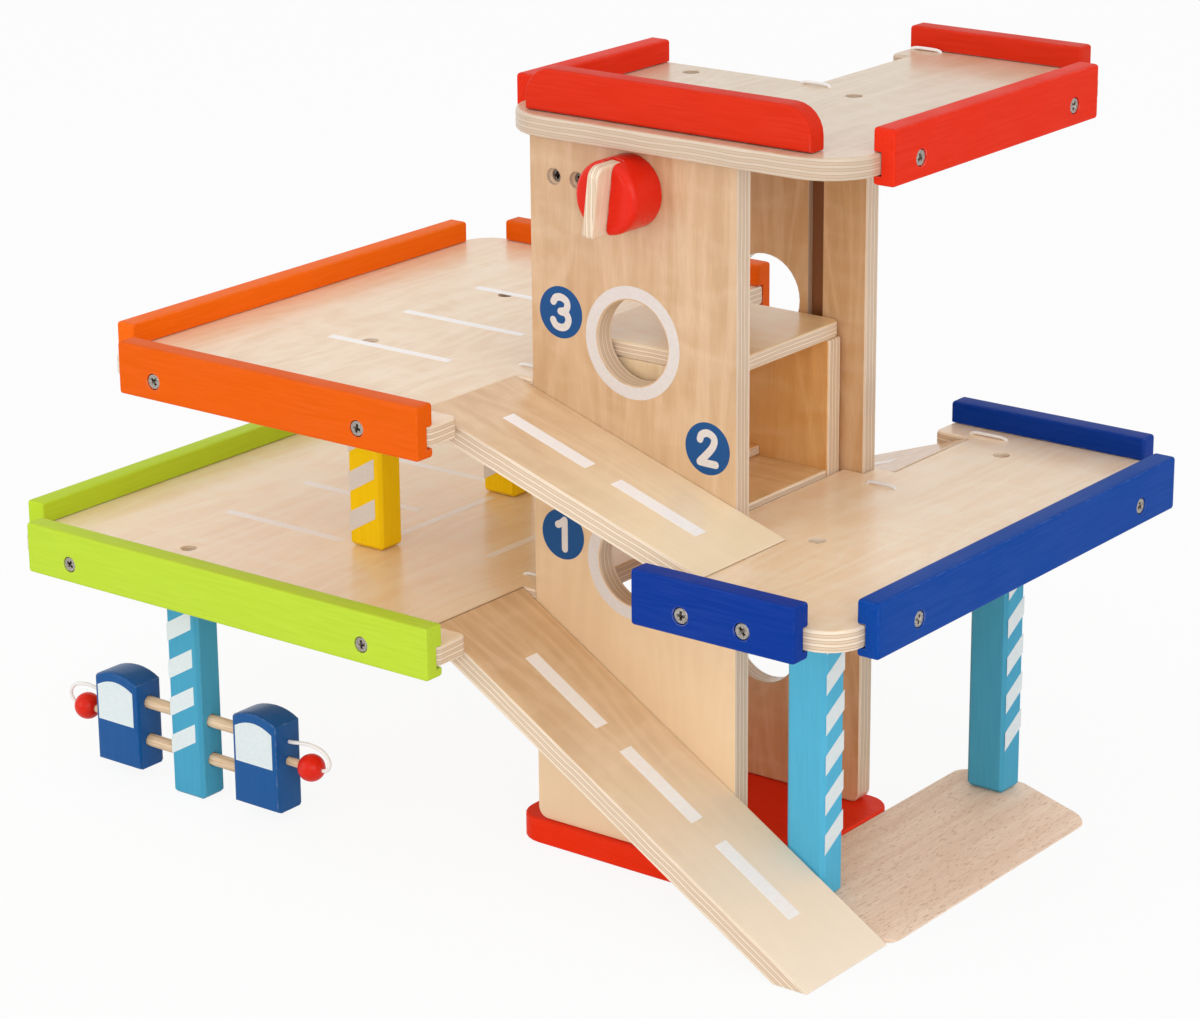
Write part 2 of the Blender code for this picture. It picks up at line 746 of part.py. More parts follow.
def add_roof():
    """The roof deck, its three grooved rails, and the rail that stands on its front edge."""
    outline = rounded_outline([
        (roof_left, roof_front, ROOF_RADIUS),
        (roof_right, roof_front, ROOF_RADIUS),
        (roof_right, roof_back, ROOF_RADIUS),
        (roof_tab, roof_back, TAB_RADIUS),
        (roof_tab, roof_back - ROOF_TAB_WIDTH, TAB_RADIUS),
        (roof_arm, roof_back - ROOF_TAB_WIDTH, 0.0),
        (roof_arm, roof_shoulder, 0.0),
        (roof_left, roof_shoulder, TAB_RADIUS),
    ])
    deck = add_part("roof_deck", level_board(outline, ROOF_TOP, PLY), birch)
    round_edges(deck, DECK_ROUNDING, 2)
    side_start = roof_front + ROOF_RADIUS
    side_end = roof_back - ROOF_RIGHT_RAIL_END_GAP
    back_start = roof_tab - RAIL_OVERHANG
    back_end = roof_right - ROOF_BACK_RAIL_END_GAP
    add_rail(
        "roof_rail_left", 1, side_start, roof_shoulder, roof_left, -1, ROOF_TOP, red_paint,
    )
    add_rail("roof_rail_back", 0, back_start, back_end, roof_back, 1, ROOF_TOP, red_paint)
    rail, outer = add_rail(
        "roof_rail_right", 1, side_start, side_end, roof_right, 1, ROOF_TOP, red_paint,
    )
    places_along = (side_start + ROOF_SCREW_INSET, side_end - ROOF_SCREW_INSET)
    screw_rail(rail, 1, places_along, outer, 1, deck, ROOF_TOP)
    add_standing_rail()
    return deck


def add_standing_rail():
    """The red lath that stands on the roof's front edge, with both upper ends rounded."""
    start = roof_left + STANDING_RAIL_START
    end = start + STANDING_RAIL_LENGTH
    bottom = ROOF_TOP + GAP
    top = ROOF_TOP + STANDING_RAIL_HEIGHT
    outline = rounded_outline([
        (start, bottom, 0.0),
        (end, bottom, 0.0),
        (end, top, STANDING_RAIL_RADIUS),
        (start, top, STANDING_RAIL_RADIUS),
    ])
    mesh = upright_board(outline, roof_front + STANDING_RAIL_SETBACK, RAIL_WIDTH)
    round_edges(add_part("roof_rail_front", mesh, red_paint), RAIL_ROUNDING, 2)


# Ramps


def ramp_outline(top, foot):
    """Side view of a ramp: its upper end is cut upright, and its foot is planed level."""
    run = Vector((foot[0] - top[0], foot[1] - top[1]))
    slope = run.y / run.x
    drop = PLY * run.length / abs(run.x)
    underside = foot[1] + GAP
    tip_x = top[0] + (underside + RAMP_TIP - top[1]) / slope
    plane_x = top[0] + (underside + drop - top[1]) / slope
    corners = [
        (top[0], top[1]),
        (top[0], top[1] - drop),
        (plane_x, underside),
        (tip_x, underside),
        (tip_x, underside + RAMP_TIP),
    ]
    return [Vector(corner) for corner in corners]


def add_ramp(name, front, top, foot):
    """A plywood ramp from its upper end to its foot, both given as (x, z)."""
    mesh = upright_board(ramp_outline(top, foot), front, RAMP_WIDTH)
    add_part(name, mesh, birch)


def add_ramps():
    """Three ramps: orange to blue, green to the ground, and blue to green behind the tower."""
    front = -GAP - RAMP_WIDTH
    blue_landing = (blue_joint + RAMP_FOOT, BLUE_TOP)
    green_landing = (green_joint - RAMP_FOOT, GREEN_TOP)
    ground_landing = (WALL_LENGTH + LOW_RAMP_REACH, 0.0)
    add_ramp("ramp_upper", front, (orange_joint + GAP, ORANGE_TOP), blue_landing)
    add_ramp("ramp_lower", front, (green_joint + GAP, GREEN_TOP), ground_landing)
    add_ramp("ramp_back", tower_back + GAP, (blue_joint - GAP, BLUE_TOP), green_landing)


# Beech plate and columns


def add_plate():
    """The beech plate under the blue deck, with its right edge planed to a slope."""
    left = WALL_LENGTH + BASE_MARGIN_ENDS + GAP
    right = left + PLATE_LENGTH
    back = tower_back + BLUE_COLUMN_BACK_REACH + PLATE_BACK_MARGIN
    outline = rounded_outline([
        (left, 0.0, PLATE_RADIUS),
        (right, 0.0, PLATE_RADIUS),
        (right, back, PLATE_RADIUS),
        (left, back, PLATE_RADIUS),
    ])
    mesh = level_board(outline, PLATE_THICKNESS, PLATE_THICKNESS)
    plate = add_part("beech_plate", mesh, beech)
    bend = left + PLATE_FLAT_LENGTH
    slope = (PLATE_TIP_THICKNESS - PLATE_THICKNESS) / (right - bend)
    beyond = right + CUT_MARGIN
    shaving = [
        Vector((bend, PLATE_THICKNESS)),
        Vector((beyond, PLATE_THICKNESS + slope * (beyond - bend))),
        Vector((beyond, PLATE_THICKNESS + CUT_MARGIN)),
        Vector((bend, PLATE_THICKNESS + CUT_MARGIN)),
    ]
    cut(plate, upright_board(shaving, -CUT_MARGIN, back + 2 * CUT_MARGIN))


def add_column(name, x, y, bottom, top, paint, place):
    """An upright painted column between two heights, with its top bored at a screw's place."""
    low = (x - COLUMN_WIDTH / 2, y - COLUMN_DEPTH / 2, bottom)
    high = (x + COLUMN_WIDTH / 2, y + COLUMN_DEPTH / 2, top)
    column = add_part(name, box_mesh(low, high), paint)
    round_edges(column, COLUMN_ROUNDING)
    bore(column, [place])
    return column


def add_columns(decks):
    """All columns, each with a screw hole down into it through the deck on top."""
    blue_x = WALL_LENGTH + BLUE_COLUMN_REACH
    blue_back = tower_back + BLUE_COLUMN_BACK_REACH
    green_back = tower_back + GREEN_COLUMN_BACK_REACH
    plate_top = PLATE_THICKNESS + GAP
    green_top = GREEN_TOP + GAP
    yellow_x = -YELLOW_COLUMN_REACH
    rows = [
        ("column_blue_front", blue_x, BLUE_COLUMN_FRONT, plate_top, "blue", light_blue_paint),
        ("column_blue_back", blue_x, blue_back, plate_top, "blue", light_blue_paint),
        ("column_green_back", -GREEN_COLUMN_REACH, green_back, 0.0, "green", light_blue_paint),
        ("column_pumps", -GREEN_COLUMN_REACH, -PUMP_COLUMN_FRONT_REACH, 0.0, "green",
         light_blue_paint),
        ("column_orange_front", yellow_x, PLY / 2, green_top, "orange", yellow_paint),
        ("column_orange_back", yellow_x, tower_back - PLY / 2, green_top, "orange", yellow_paint),
    ]
    tops = {"blue": BLUE_TOP, "green": GREEN_TOP, "orange": ORANGE_TOP}
    columns = {}
    for name, x, y, bottom, deck, paint in rows:
        place = screw_place((x, y, tops[deck]), "up")
        columns[name] = add_column(name, x, y, bottom, tops[deck] - PLY - GAP, paint, place)
        bore(decks[deck], [place])
    return columns


# Fuel pumps


def pump_outline(x):
    """Front view of a pump: upright sides and a low arched top."""
    half = PUMP_WIDTH / 2
    shoulder = PUMP_CLEARANCE + PUMP_SHOULDER
    rise = PUMP_HEIGHT - PUMP_SHOULDER
    arch_radius = (half**2 + rise**2) / (2 * rise)
    centre = shoulder + rise - arch_radius
    swing = math.asin(half / arch_radius)
    arch = []
    for step in range(PUMP_ARCH_STEPS + 1):
        angle = swing - 2 * swing * step / PUMP_ARCH_STEPS
        arch.append(Vector((x + arch_radius * math.sin(angle), centre + arch_radius * math.cos(angle))))
    return [Vector((x - half, PUMP_CLEARANCE)), Vector((x + half, PUMP_CLEARANCE)), *arch]


def add_pumps(column):
    """Two pumps on dowels that pass through the column, each with a nozzle on a hose."""
    middle_x = -GREEN_COLUMN_REACH
    y = -PUMP_COLUMN_FRONT_REACH
    inner_side = PUMP_OFFSET - PUMP_WIDTH / 2
    bore_reach = inner_side + DOWEL_DEPTH
    along = (1.0, 0.0, 0.0)
    dowels = []
    dowel_bores = []
    for label, height in (("low", LOW_DOWEL_HEIGHT), ("high", HIGH_DOWEL_HEIGHT)):
        start = (middle_x - bore_reach + GAP, y, height)
        rod = rod_mesh(start, along, 2 * (bore_reach - GAP), DOWEL_DIAMETER)
        dowels.append(add_part("pump_dowel_" + label, rod, dowel_wood))
        shade_round(dowels[-1])
        dowel_bores.append((middle_x - bore_reach, height))
    wide = DOWEL_DIAMETER + 2 * GAP

    def dowel_cut():
        """The bores for both dowels."""
        rods = [
            rod_mesh((x, y, height), along, 2 * bore_reach, wide)
            for x, height in dowel_bores
        ]
        return joined(rods)

    cut(column, dowel_cut())
    for name, side, height in (("left", -1, LEFT_NOZZLE_HEIGHT), ("right", 1, RIGHT_NOZZLE_HEIGHT)):
        x = middle_x + side * PUMP_OFFSET
        mesh = upright_board(pump_outline(x), y - PUMP_DEPTH / 2, PUMP_DEPTH)
        pump = add_part("pump_" + name, mesh, pump_paint)
        round_edges(pump, PUMP_ROUNDING, 2)
        cut(pump, dowel_cut())
        add_nozzle(name, side, pump, (x + side * PUMP_WIDTH / 2, y, height))


def add_nozzle(name, side, pump, socket):
    """A red ball on a peg that plugs into the pump's outer side, and the hose that holds it."""
    face, y, height = socket
    outward = (side * 1.0, 0.0, 0.0)
    inward = (-side * 1.0, 0.0, 0.0)
    ball_x = face + side * BALL_OFFSET
    slide = add_empty("nozzle_" + name + "_slide", (ball_x, y, height), garage)
    peg_start = face - side * (PEG_DEPTH - GAP)
    ball_bore = ball_x - side * (BALL_DIAMETER / 2 - BALL_BORE_DEPTH)
    peg_length = abs(ball_bore - peg_start) - GAP
    peg = rod_mesh((peg_start, y, height), outward, peg_length, PEG_DIAMETER, PEG_STEPS)
    shade_round(add_part("nozzle_peg_" + name, peg, dowel_wood, slide))
    shape = bmesh.new()
    bmesh.ops.create_uvsphere(
        shape, u_segments=BALL_STEPS, v_segments=BALL_RINGS, radius=BALL_DIAMETER / 2,
    )
    bmesh.ops.translate(shape, vec=(ball_x, y, height), verts=shape.verts)
    ball = add_part("nozzle_ball_" + name, as_mesh(shape), red_paint, slide)
    shade_round(ball)
    peg_bore = PEG_DIAMETER + 2 * GAP
    peg_socket = abs(ball_bore - peg_start) + CUT_MARGIN
    start = (ball_bore, y, height)
    cut(ball, rod_mesh(start, inward, peg_socket, peg_bore, PEG_STEPS))
    start = (face - side * PEG_DEPTH, y, height)
    cut(pump, rod_mesh(start, outward, PEG_DEPTH + CUT_MARGIN, peg_bore, PEG_STEPS))
    end = BALL_OFFSET + BALL_DIAMETER / 2 + GAP
    rows = [
        (GAP, HOSE_RISE),
        (4.0 * MM, HOSE_RISE + 0.4 * MM),
        (8.5 * MM, HOSE_RISE + 1.1 * MM),
        (13.0 * MM, HOSE_RISE + 1.4 * MM),
        (17.4 * MM, HOSE_RISE + 0.9 * MM),
        (21.5 * MM, HOSE_RISE - 0.5 * MM),
        (24.2 * MM, 6.0 * MM),
        (24.5 * MM, 3.2 * MM),
        (23.0 * MM, 0.9 * MM),
        (end, 0.0),
    ]
    route = [Vector((face + side * out, y, height + rise)) for out, rise in rows]
    hose = tube_mesh(smooth_route(route, HOSE_STEPS), HOSE_DIAMETER)
    shade_round(add_part("hose_" + name, hose, white_cord, slide))


# Lift


def add_cabin():
    """The lift cabin: floor, two side walls, roof and a low wheel stop across the floor."""
    floor_top = BLUE_TOP + CABIN_RISE
    floor_bottom = floor_top - CABIN_BOARD
    roof_bottom = floor_top + CABIN_HEADROOM + GAP
    roof_top = roof_bottom + CABIN_BOARD
    lift = add_empty("cabin_lift", (tower_middle, (cabin_front + cabin_back) / 2, floor_top), garage)
    corners = [
        (cabin_left, cabin_front),
        (cabin_right, cabin_front),
        (cabin_right, cabin_back),
        (cabin_left, cabin_back),
    ]
    rounded = rounded_outline([(x, y, CABIN_RADIUS) for x, y in corners])
    boards = [add_part("cabin_roof", level_board(rounded, roof_top, CABIN_BOARD), birch, lift)]
    front = cabin_front + CABIN_WALL_INSET
    back = cabin_back - CABIN_WALL_INSET - CABIN_WALL
    for name, y in (("cabin_wall_front", front), ("cabin_wall_back", back)):
        low = (cabin_left, y, floor_bottom)
        high = (cabin_right, y + CABIN_WALL, roof_bottom - GAP)
        boards.append(add_part(name, box_mesh(low, high), birch, lift))
    inner_front = front + CABIN_WALL + GAP
    inner_back = back - GAP
    floor = box_mesh((cabin_left, inner_front, floor_bottom), (cabin_right, inner_back, floor_top))
    boards.append(add_part("cabin_floor", floor, birch, lift))
    stop_bottom = floor_top + GAP
    stop = box_mesh(
        (tower_middle - STOP_LENGTH / 2, inner_front, stop_bottom),
        (tower_middle + STOP_LENGTH / 2, inner_back, stop_bottom + STOP_HEIGHT),
    )
    boards.append(add_part("cabin_stop", stop, birch, lift))
    for board in boards:
        round_edges(board, PLY_ROUNDING)


def add_knob(front_wall, back_wall):
    """The red knob with its plywood grip, on the axle that crosses the shaft."""
    turn = add_empty("knob_axis", (tower_middle, 0.0, knob_height), garage)
    centre = Matrix.Translation((tower_middle, 0.0, knob_height))
    rest = centre @ Matrix.Rotation(KNOB_TURN, 4, "Y") @ centre.inverted()
    radius = KNOB_DIAMETER / 2
    rim = [
        (radius - KNOB_ROUNDING * (1 - math.sin(angle)),
         KNOB_THICKNESS - KNOB_ROUNDING * (1 - math.cos(angle)))
        for angle in (0.0, math.pi / 8, math.pi / 4, 3 * math.pi / 8, math.pi / 2)
    ]
    profile = [(0.0, KNOB_THICKNESS), *rim, (radius, 0.0), (0.0, 0.0)]
    place = Matrix.Translation((tower_middle, -GAP, knob_height)) @ HEAD_DIRECTIONS["-y"]
    disc = add_part("knob_disc", turned_mesh(profile, KNOB_STEPS, place), red_paint, turn)
    shade_round(disc)
    disc_face = -GAP - KNOB_THICKNESS
    slot_bottom = disc_face + GRIP_SLOT_DEPTH
    half = GRIP_THICKNESS / 2 + GAP
    slot = box_mesh(
        (tower_middle - half, disc_face - CUT_MARGIN, knob_height - radius - CUT_MARGIN),
        (tower_middle + half, slot_bottom, knob_height + radius + CUT_MARGIN),
    )
    slot.transform(rest)
    cut(disc, slot)
    half_length = radius - GRIP_END_INSET
    grip_front = disc_face - GRIP_PROTRUSION
    grip_back = slot_bottom - GAP
    outline = rounded_outline([
        (grip_front, -half_length, GRIP_RADIUS),
        (grip_back, -half_length, GRIP_RADIUS),
        (grip_back, half_length, GRIP_RADIUS),
        (grip_front, half_length, GRIP_TOP_RADIUS),
    ])
    side_view = (math.pi / 2, 0.0, math.pi / 2)
    grip = outline_mesh([outline], GRIP_THICKNESS, (tower_middle, 0.0, knob_height), side_view)
    grip.transform(rest)
    round_edges(add_part("knob_grip", grip, birch, turn), PLY_ROUNDING)
    along = (0.0, 1.0, 0.0)
    axle_start = -GAP - AXLE_KNOB_DEPTH
    axle_end = shaft_back + AXLE_WALL_DEPTH
    start = (tower_middle, axle_start + GAP, knob_height)
    axle = rod_mesh(start, along, axle_end - axle_start - 2 * GAP, AXLE_DIAMETER, AXLE_STEPS)
    shade_round(add_part("hoist_axle", axle, dowel_wood, turn))
    bore_start = (tower_middle, axle_start, knob_height)
    for part in (disc, front_wall, back_wall):
        wide = AXLE_DIAMETER + 2 * GAP
        cut(part, rod_mesh(bore_start, along, axle_end - axle_start, wide, AXLE_STEPS))


def build():
    """Makes every part."""
    add_base_board()
    front_wall, back_wall = add_tower()
    decks = {
        "green": add_left_deck(
            "green", GREEN_REACH, green_joint, GREEN_TOP, green_paint, GREEN_SCREW_INSETS,
        ),
        "orange": add_left_deck(
            "orange", ORANGE_REACH, orange_joint, ORANGE_TOP, orange_paint, ORANGE_SCREW_INSETS,
        ),
        "blue": add_blue_deck(),
    }
    roof = add_roof()
    add_ramps()
    add_plate()
    columns = add_columns(decks)
    wall_middle = tower_back - PLY / 2
    roof_places = [
        screw_place((x, wall_middle, ROOF_TOP), "up")
        for x in (tower_middle - ROOF_HOLE_SPREAD, tower_middle + ROOF_HOLE_SPREAD)
    ]
    bore(roof, roof_places)
    bore(back_wall, roof_places)
    add_pumps(columns["column_pumps"])
    add_cabin()
    add_knob(front_wall, back_wall)


build()
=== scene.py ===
"""Looks of the wooden toy parking garage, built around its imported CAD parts.

Sizes are in millimetres and counted from the tower, as in the CAD source: X from its left end,
Y from its front face and Z from the ground. place() turns such a point into the row frame. The
camera, the lamps, the floor and the textures' scales are in metres of the row frame.
"""
import math

import bmesh
import bpy
from mathutils import Matrix, Vector


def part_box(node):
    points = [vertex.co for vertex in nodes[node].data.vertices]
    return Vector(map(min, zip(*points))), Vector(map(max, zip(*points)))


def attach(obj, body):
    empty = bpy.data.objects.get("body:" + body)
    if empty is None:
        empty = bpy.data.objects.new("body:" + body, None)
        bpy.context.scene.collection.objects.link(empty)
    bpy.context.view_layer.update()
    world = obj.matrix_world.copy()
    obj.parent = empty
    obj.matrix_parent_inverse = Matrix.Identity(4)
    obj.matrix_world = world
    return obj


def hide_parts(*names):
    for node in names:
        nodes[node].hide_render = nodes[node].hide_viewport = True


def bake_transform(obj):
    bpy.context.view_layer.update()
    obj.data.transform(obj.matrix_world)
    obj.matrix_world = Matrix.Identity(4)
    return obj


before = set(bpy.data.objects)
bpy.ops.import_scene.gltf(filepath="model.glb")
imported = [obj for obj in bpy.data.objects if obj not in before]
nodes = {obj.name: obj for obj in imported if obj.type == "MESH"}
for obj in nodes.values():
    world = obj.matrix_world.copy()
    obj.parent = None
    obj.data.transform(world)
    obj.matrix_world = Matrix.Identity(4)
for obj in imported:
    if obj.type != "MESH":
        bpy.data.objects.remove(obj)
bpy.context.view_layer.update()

MM = 0.001
X, Y, Z = 0, 1, 2
TOWER_CORNER = Vector((14.1, -62.2, 0.0))

# Sizes that the CAD source has too
PLY = 9.5
GREEN_TOP, BLUE_TOP, ORANGE_TOP, ROOF_TOP = 120.0, 169.7, 216.9, 336.0
COLUMN_HALF_WIDTH, COLUMN_HALF_DEPTH = 9.9, 7.7
GREEN_COLUMN, YELLOW_COLUMN, BLUE_COLUMN = -163.1, -97.0, 143.8
GREEN_COLUMN_BACK = 163.0
BLUE_COLUMN_FRONT, BLUE_COLUMN_BACK = 8.3, 153.6
FRONT_WALL_MIDDLE, BACK_WALL_MIDDLE = 4.75, 101.25
PUMP_FACE = -58.3
PUMP_LINE = -49.7
PUMP_OFFSET = 43.75
HOSE_DIAMETER = 1.8
BALL_DIAMETER = 12.9
# The middle of a nozzle's ball from its pump's outer side
BALL_OFFSET = 13.6

PRINT_THICKNESS = 0.08
DISC_THICKNESS = 0.05


def place(x, y, z):
    """A point counted from the tower in millimetres, in the row frame in metres."""
    return (Vector((x, y, z)) + TOWER_CORNER) * MM


def link(thing):
    """Puts a new object in the scene."""
    bpy.context.scene.collection.objects.link(thing)


# Camera

CAMERA_PLACE = (0.9755, -1.2608, 0.6693)
CAMERA_BACK = Vector((0.5790, -0.7552, 0.3072))
CAMERA_ROLL = math.radians(-0.4254)
CAMERA_LENS = 110.86
CAMERA_SHIFT = (-0.0097, -0.0298)
CAMERA_REACH = 20.0


def add_camera():
    """The photograph's camera."""
    back = CAMERA_BACK.normalized()
    level = Vector((-back.y, back.x, 0.0)).normalized()
    upright = back.cross(level)
    right = math.cos(CAMERA_ROLL) * level + math.sin(CAMERA_ROLL) * upright
    up = back.cross(right)
    data = bpy.data.cameras.new("camera")
    data.lens = CAMERA_LENS
    data.shift_x, data.shift_y = CAMERA_SHIFT
    data.clip_end = CAMERA_REACH
    camera = bpy.data.objects.new("camera", data)
    turn = Matrix((right, up, back)).transposed().to_4x4()
    camera.matrix_world = Matrix.Translation(CAMERA_PLACE) @ turn
    link(camera)
    bpy.context.scene.camera = camera


add_camera()


# Materials


def linear(level):
    """One channel of a screen colour, from 0 to 255, as a linear value."""
    share = level / 255
    if share <= 0.04045:
        return share / 12.92
    return ((share + 0.055) / 1.055) ** 2.4


def screen(red, green, blue):
    """A screen colour as the linear colour that a shader takes."""
    return (linear(red), linear(green), linear(blue), 1.0)


class Nodes:
    """Adds and links the nodes of one material."""

    def __init__(self, name):
        self.material = bpy.data.materials.new(name)
        self.material.use_nodes = True
        self.tree = self.material.node_tree
        self.shader = self.tree.nodes["Principled BSDF"]
        self.coords = self.add("TexCoord")
        self.where = self.coords.outputs["Object"]

    def add(self, kind, sockets=None, **settings):
        """A node with its settings, and its sockets linked or set."""
        node = self.tree.nodes.new("ShaderNode" + kind)
        for key, value in settings.items():
            setattr(node, key, value)
        for key, value in (sockets or {}).items():
            self.put(node.inputs[key], value)
        return node

    def put(self, socket, value):
        """Links a socket to another, or sets it."""
        if isinstance(value, bpy.types.NodeSocket):
            self.tree.links.new(value, socket)
        else:
            socket.default_value = value

    def finish(self, **values):
        """Sets or links the shader's own sockets."""
        for key, value in values.items():
            self.put(self.shader.inputs[key.replace("_", " ")], value)
        return self.material

    def scaled(self, vector, scale, shift=(0.0, 0.0, 0.0)):
        """A vector scaled along each axis and then shifted."""
        sockets = {"Vector": vector, "Scale": scale, "Location": shift}
        return self.add("Mapping", sockets).outputs[0]

    def noise(self, vector, detail=2.0, distortion=0.0, roughness=0.5):
        """Noise from 0 to 1 at the vector's own scale."""
        sockets = {
            "Vector": vector, "Scale": 1.0, "Detail": detail,
            "Roughness": roughness, "Distortion": distortion,
        }
        return self.add("TexNoise", sockets).outputs["Fac"]

    def spread(self, value, low, high, start=0.0, end=1.0):
        """Maps a value from low..high to start..end, smoothly and within these ends."""
        sockets = {0: value, 1: low, 2: high, 3: start, 4: end}
        return self.add("MapRange", sockets, interpolation_type="SMOOTHSTEP").outputs[0]

    def rough(self, noise, low, high):
        """A roughness that goes from low to high with a noise."""
        return self.spread(noise, 0.2, 0.8, low, high)

    def math(self, operation, first, second):
        """One operation on two numbers, or on the first where it takes only one."""
        return self.add("Math", {0: first, 1: second}, operation=operation).outputs[0]

    def mix(self, factor, first, second):
        """One colour mixed from two."""
        return self.add("Mix", {0: factor, 6: first, 7: second}, data_type="RGBA").outputs[2]

    def bump(self, height, strength, depth):
        """A bumped normal."""
        sockets = {"Height": height, "Strength": strength, "Distance": depth}
        return self.add("Bump", sockets).outputs["Normal"]

    def edges(self, radius, low, high):
        """1 at the surface's sharp edges and 0 away from them."""
        soft = self.add("Bevel", {"Radius": radius}, samples=4).outputs["Normal"]
        sharp = self.add("NewGeometry").outputs["Normal"]
        turned = self.add("VectorMath", {0: soft, 1: sharp}, operation="DOT_PRODUCT")
        return self.spread(turned.outputs["Value"], low, high, 1.0, 0.0)


def grained(across, along, grain):
    """The scales of a noise that is drawn out along the grain's axis."""
    scales = [across, across, across]
    scales[grain] = along
    return scales


# The places of a board's glue lines through its thickness, and half of a line's width, in shares
LAYER_LINES = (0.17, 0.30, 0.44, 0.56, 0.70, 0.83)
LAYER_LINE_HALF = 0.013


def layer_stops():
    """The ColorRamp stops of a plywood edge: light layers, duller cross layers and glue lines."""
    light, dull, glue = screen(242, 222, 198), screen(226, 200, 170), screen(180, 150, 124)
    stops = [(0.0, light)]
    for index, line in enumerate(LAYER_LINES):
        before, after = (light, dull) if index % 2 == 0 else (dull, light)
        stops.append((line - 2 * LAYER_LINE_HALF, before))
        stops.append((line, glue))
        stops.append((line + 2 * LAYER_LINE_HALF, after))
    return stops


# Each kind of veneer: its two figure colours, its patches, its ripple and its dark fibres
VENEERS = {
    "deck": ((248, 222, 188), (238, 206, 166), (242, 210, 170), (252, 232, 204), (226, 190, 150)),
    # Lighter than the deck veneer: painted light for the green deck, which lies in shade under the
    # orange deck
    "green_deck": (
        (255, 234, 202), (250, 222, 184), (252, 226, 188), (255, 242, 216), (240, 206, 166),
    ),
    # Lighter than the deck veneer: painted light for the blue deck, which lies partly in shade
    "blue_deck": (
        (255, 230, 198), (248, 218, 180), (250, 222, 184), (255, 240, 214), (236, 202, 162),
    ),
    # Darker and greyer than the deck veneer: painted shade on the roof, which takes the most light
    "roof": ((220, 198, 170), (209, 184, 151), (213, 188, 155), (227, 207, 184), (200, 171, 136)),
    "ramp": ((230, 194, 151), (216, 176, 131), (220, 182, 137), (240, 210, 171), (200, 158, 113)),
    "wall": ((218, 182, 141), (202, 162, 119), (206, 165, 121), (228, 197, 161), (186, 144, 103)),
    # Deeper orange than the outer wall: partly the wood's own tone and partly painted warm light
    # bounced round the shaft
    "inner_wall": (
        (226, 182, 134), (210, 162, 112), (216, 168, 118), (234, 198, 156), (196, 146, 96),
    ),
    # Deeper orange than the cabin's outer wall: partly the wood's own tone and partly painted warm
    # light bounced round the shaft
    "cabin": ((242, 186, 118), (226, 166, 98), (230, 172, 102), (246, 202, 142), (212, 150, 84)),
    "cabin_outside": (
        (240, 214, 172), (226, 194, 150), (230, 198, 154), (246, 224, 190), (212, 176, 132),
    ),
    "cabin_floor": (
        (240, 202, 148), (226, 184, 128), (230, 188, 132), (246, 212, 166), (212, 166, 112),
    ),
    # Pale at full strength: painted light for the cabin's roof, which lies in shade under the roof
    # deck
    "shelf": ((255, 230, 180), (252, 216, 160), (252, 218, 164), (255, 238, 198), (242, 202, 146)),
    "grip": ((238, 216, 188), (226, 198, 166), (230, 204, 172), (244, 224, 200), (212, 182, 150)),
}
# Each noise in the plywood: its scales along the grain, across it and through the board, its
# detail and its distortion
WOOD_NOISES = {
    "figure": ((13.0, 120.0, 20.0), 3.0, 0.9),
    "patches": ((9.0, 24.0, 5.0), 2.0, 1.4),
    "ripple": ((95.0, 45.0, 5.0), 1.0, 0.6),
    "fibre": ((130.0, 2400.0, 300.0), 2.0, 0.0),
    "fleck": ((420.0, 2600.0, 300.0), 1.0, 0.0),
    "swirl": ((4.5, 30.0, 5.0), 1.0, 0.5),
    "wobble": ((40.0, 40.0, 60.0), 1.0, 0.0),
    "streak": ((70.0, 70.0, 4200.0), 2.0, 0.0),
    "pores": ((1500.0, 1500.0, 900.0), 1.0, 0.0),
}
# The tone of the short flecks in every face, and of the streaks and pores in every edge
FLECK_TONE, STREAK_TONE, PORE_TONE = (182, 132, 88), (204, 178, 144), (180, 150, 118)
# How much of a duller tone each kind of board's edges take
RIM_TINTS = {"roof": 0.5, "wall": 0.2, "inner_wall": 0.2}
RIM_TONE = (176, 152, 130)
# Painted shadow in the gap across the upper end of the lower ramp: start and end in metres
SHADOW_GAP = (0.0004, 0.0009)
SHADOW_GAP_TONE = (96, 58, 34)
# Painted light and reflection: where a board's face grows paler along its grain, the front wall
# towards the ground and the ramps towards their feet: start and end in metres, the share at each,
# and the pale tone
PAINTED_LIGHT_FADES = {
    "wall_front": ((0.04, 0.24, 0.85, 0.0), (250, 220, 180)),
    "ramp_upper": ((0.0, 0.15, 0.0, 0.8), (255, 238, 204)),
    "ramp_lower": ((0.02, 0.22, 0.0, 0.9), (255, 238, 214)),
}
# How far the arches' wave turns over the whole range of the swirl, in radians
ARCH_TURNS = 58.0
# The middle depth of the guide grooves in each wall, and their places along it, in millimetres
GROOVES = {"wall_front": 7.6, "wall_back": 1.9}
GROOVE_PLACES = (26.5, 81.5)
# Where a groove's darker tone ends beside its middle and across its depth: start and end in
# metres. The tone is partly the raw cut wood's own and partly painted shade
GROOVE_SIDE, GROOVE_DEPTH = (0.0039, 0.0041), (0.00165, 0.00175)
GROOVE_WOOD_AND_SHADE_TONE = (132, 78, 38)


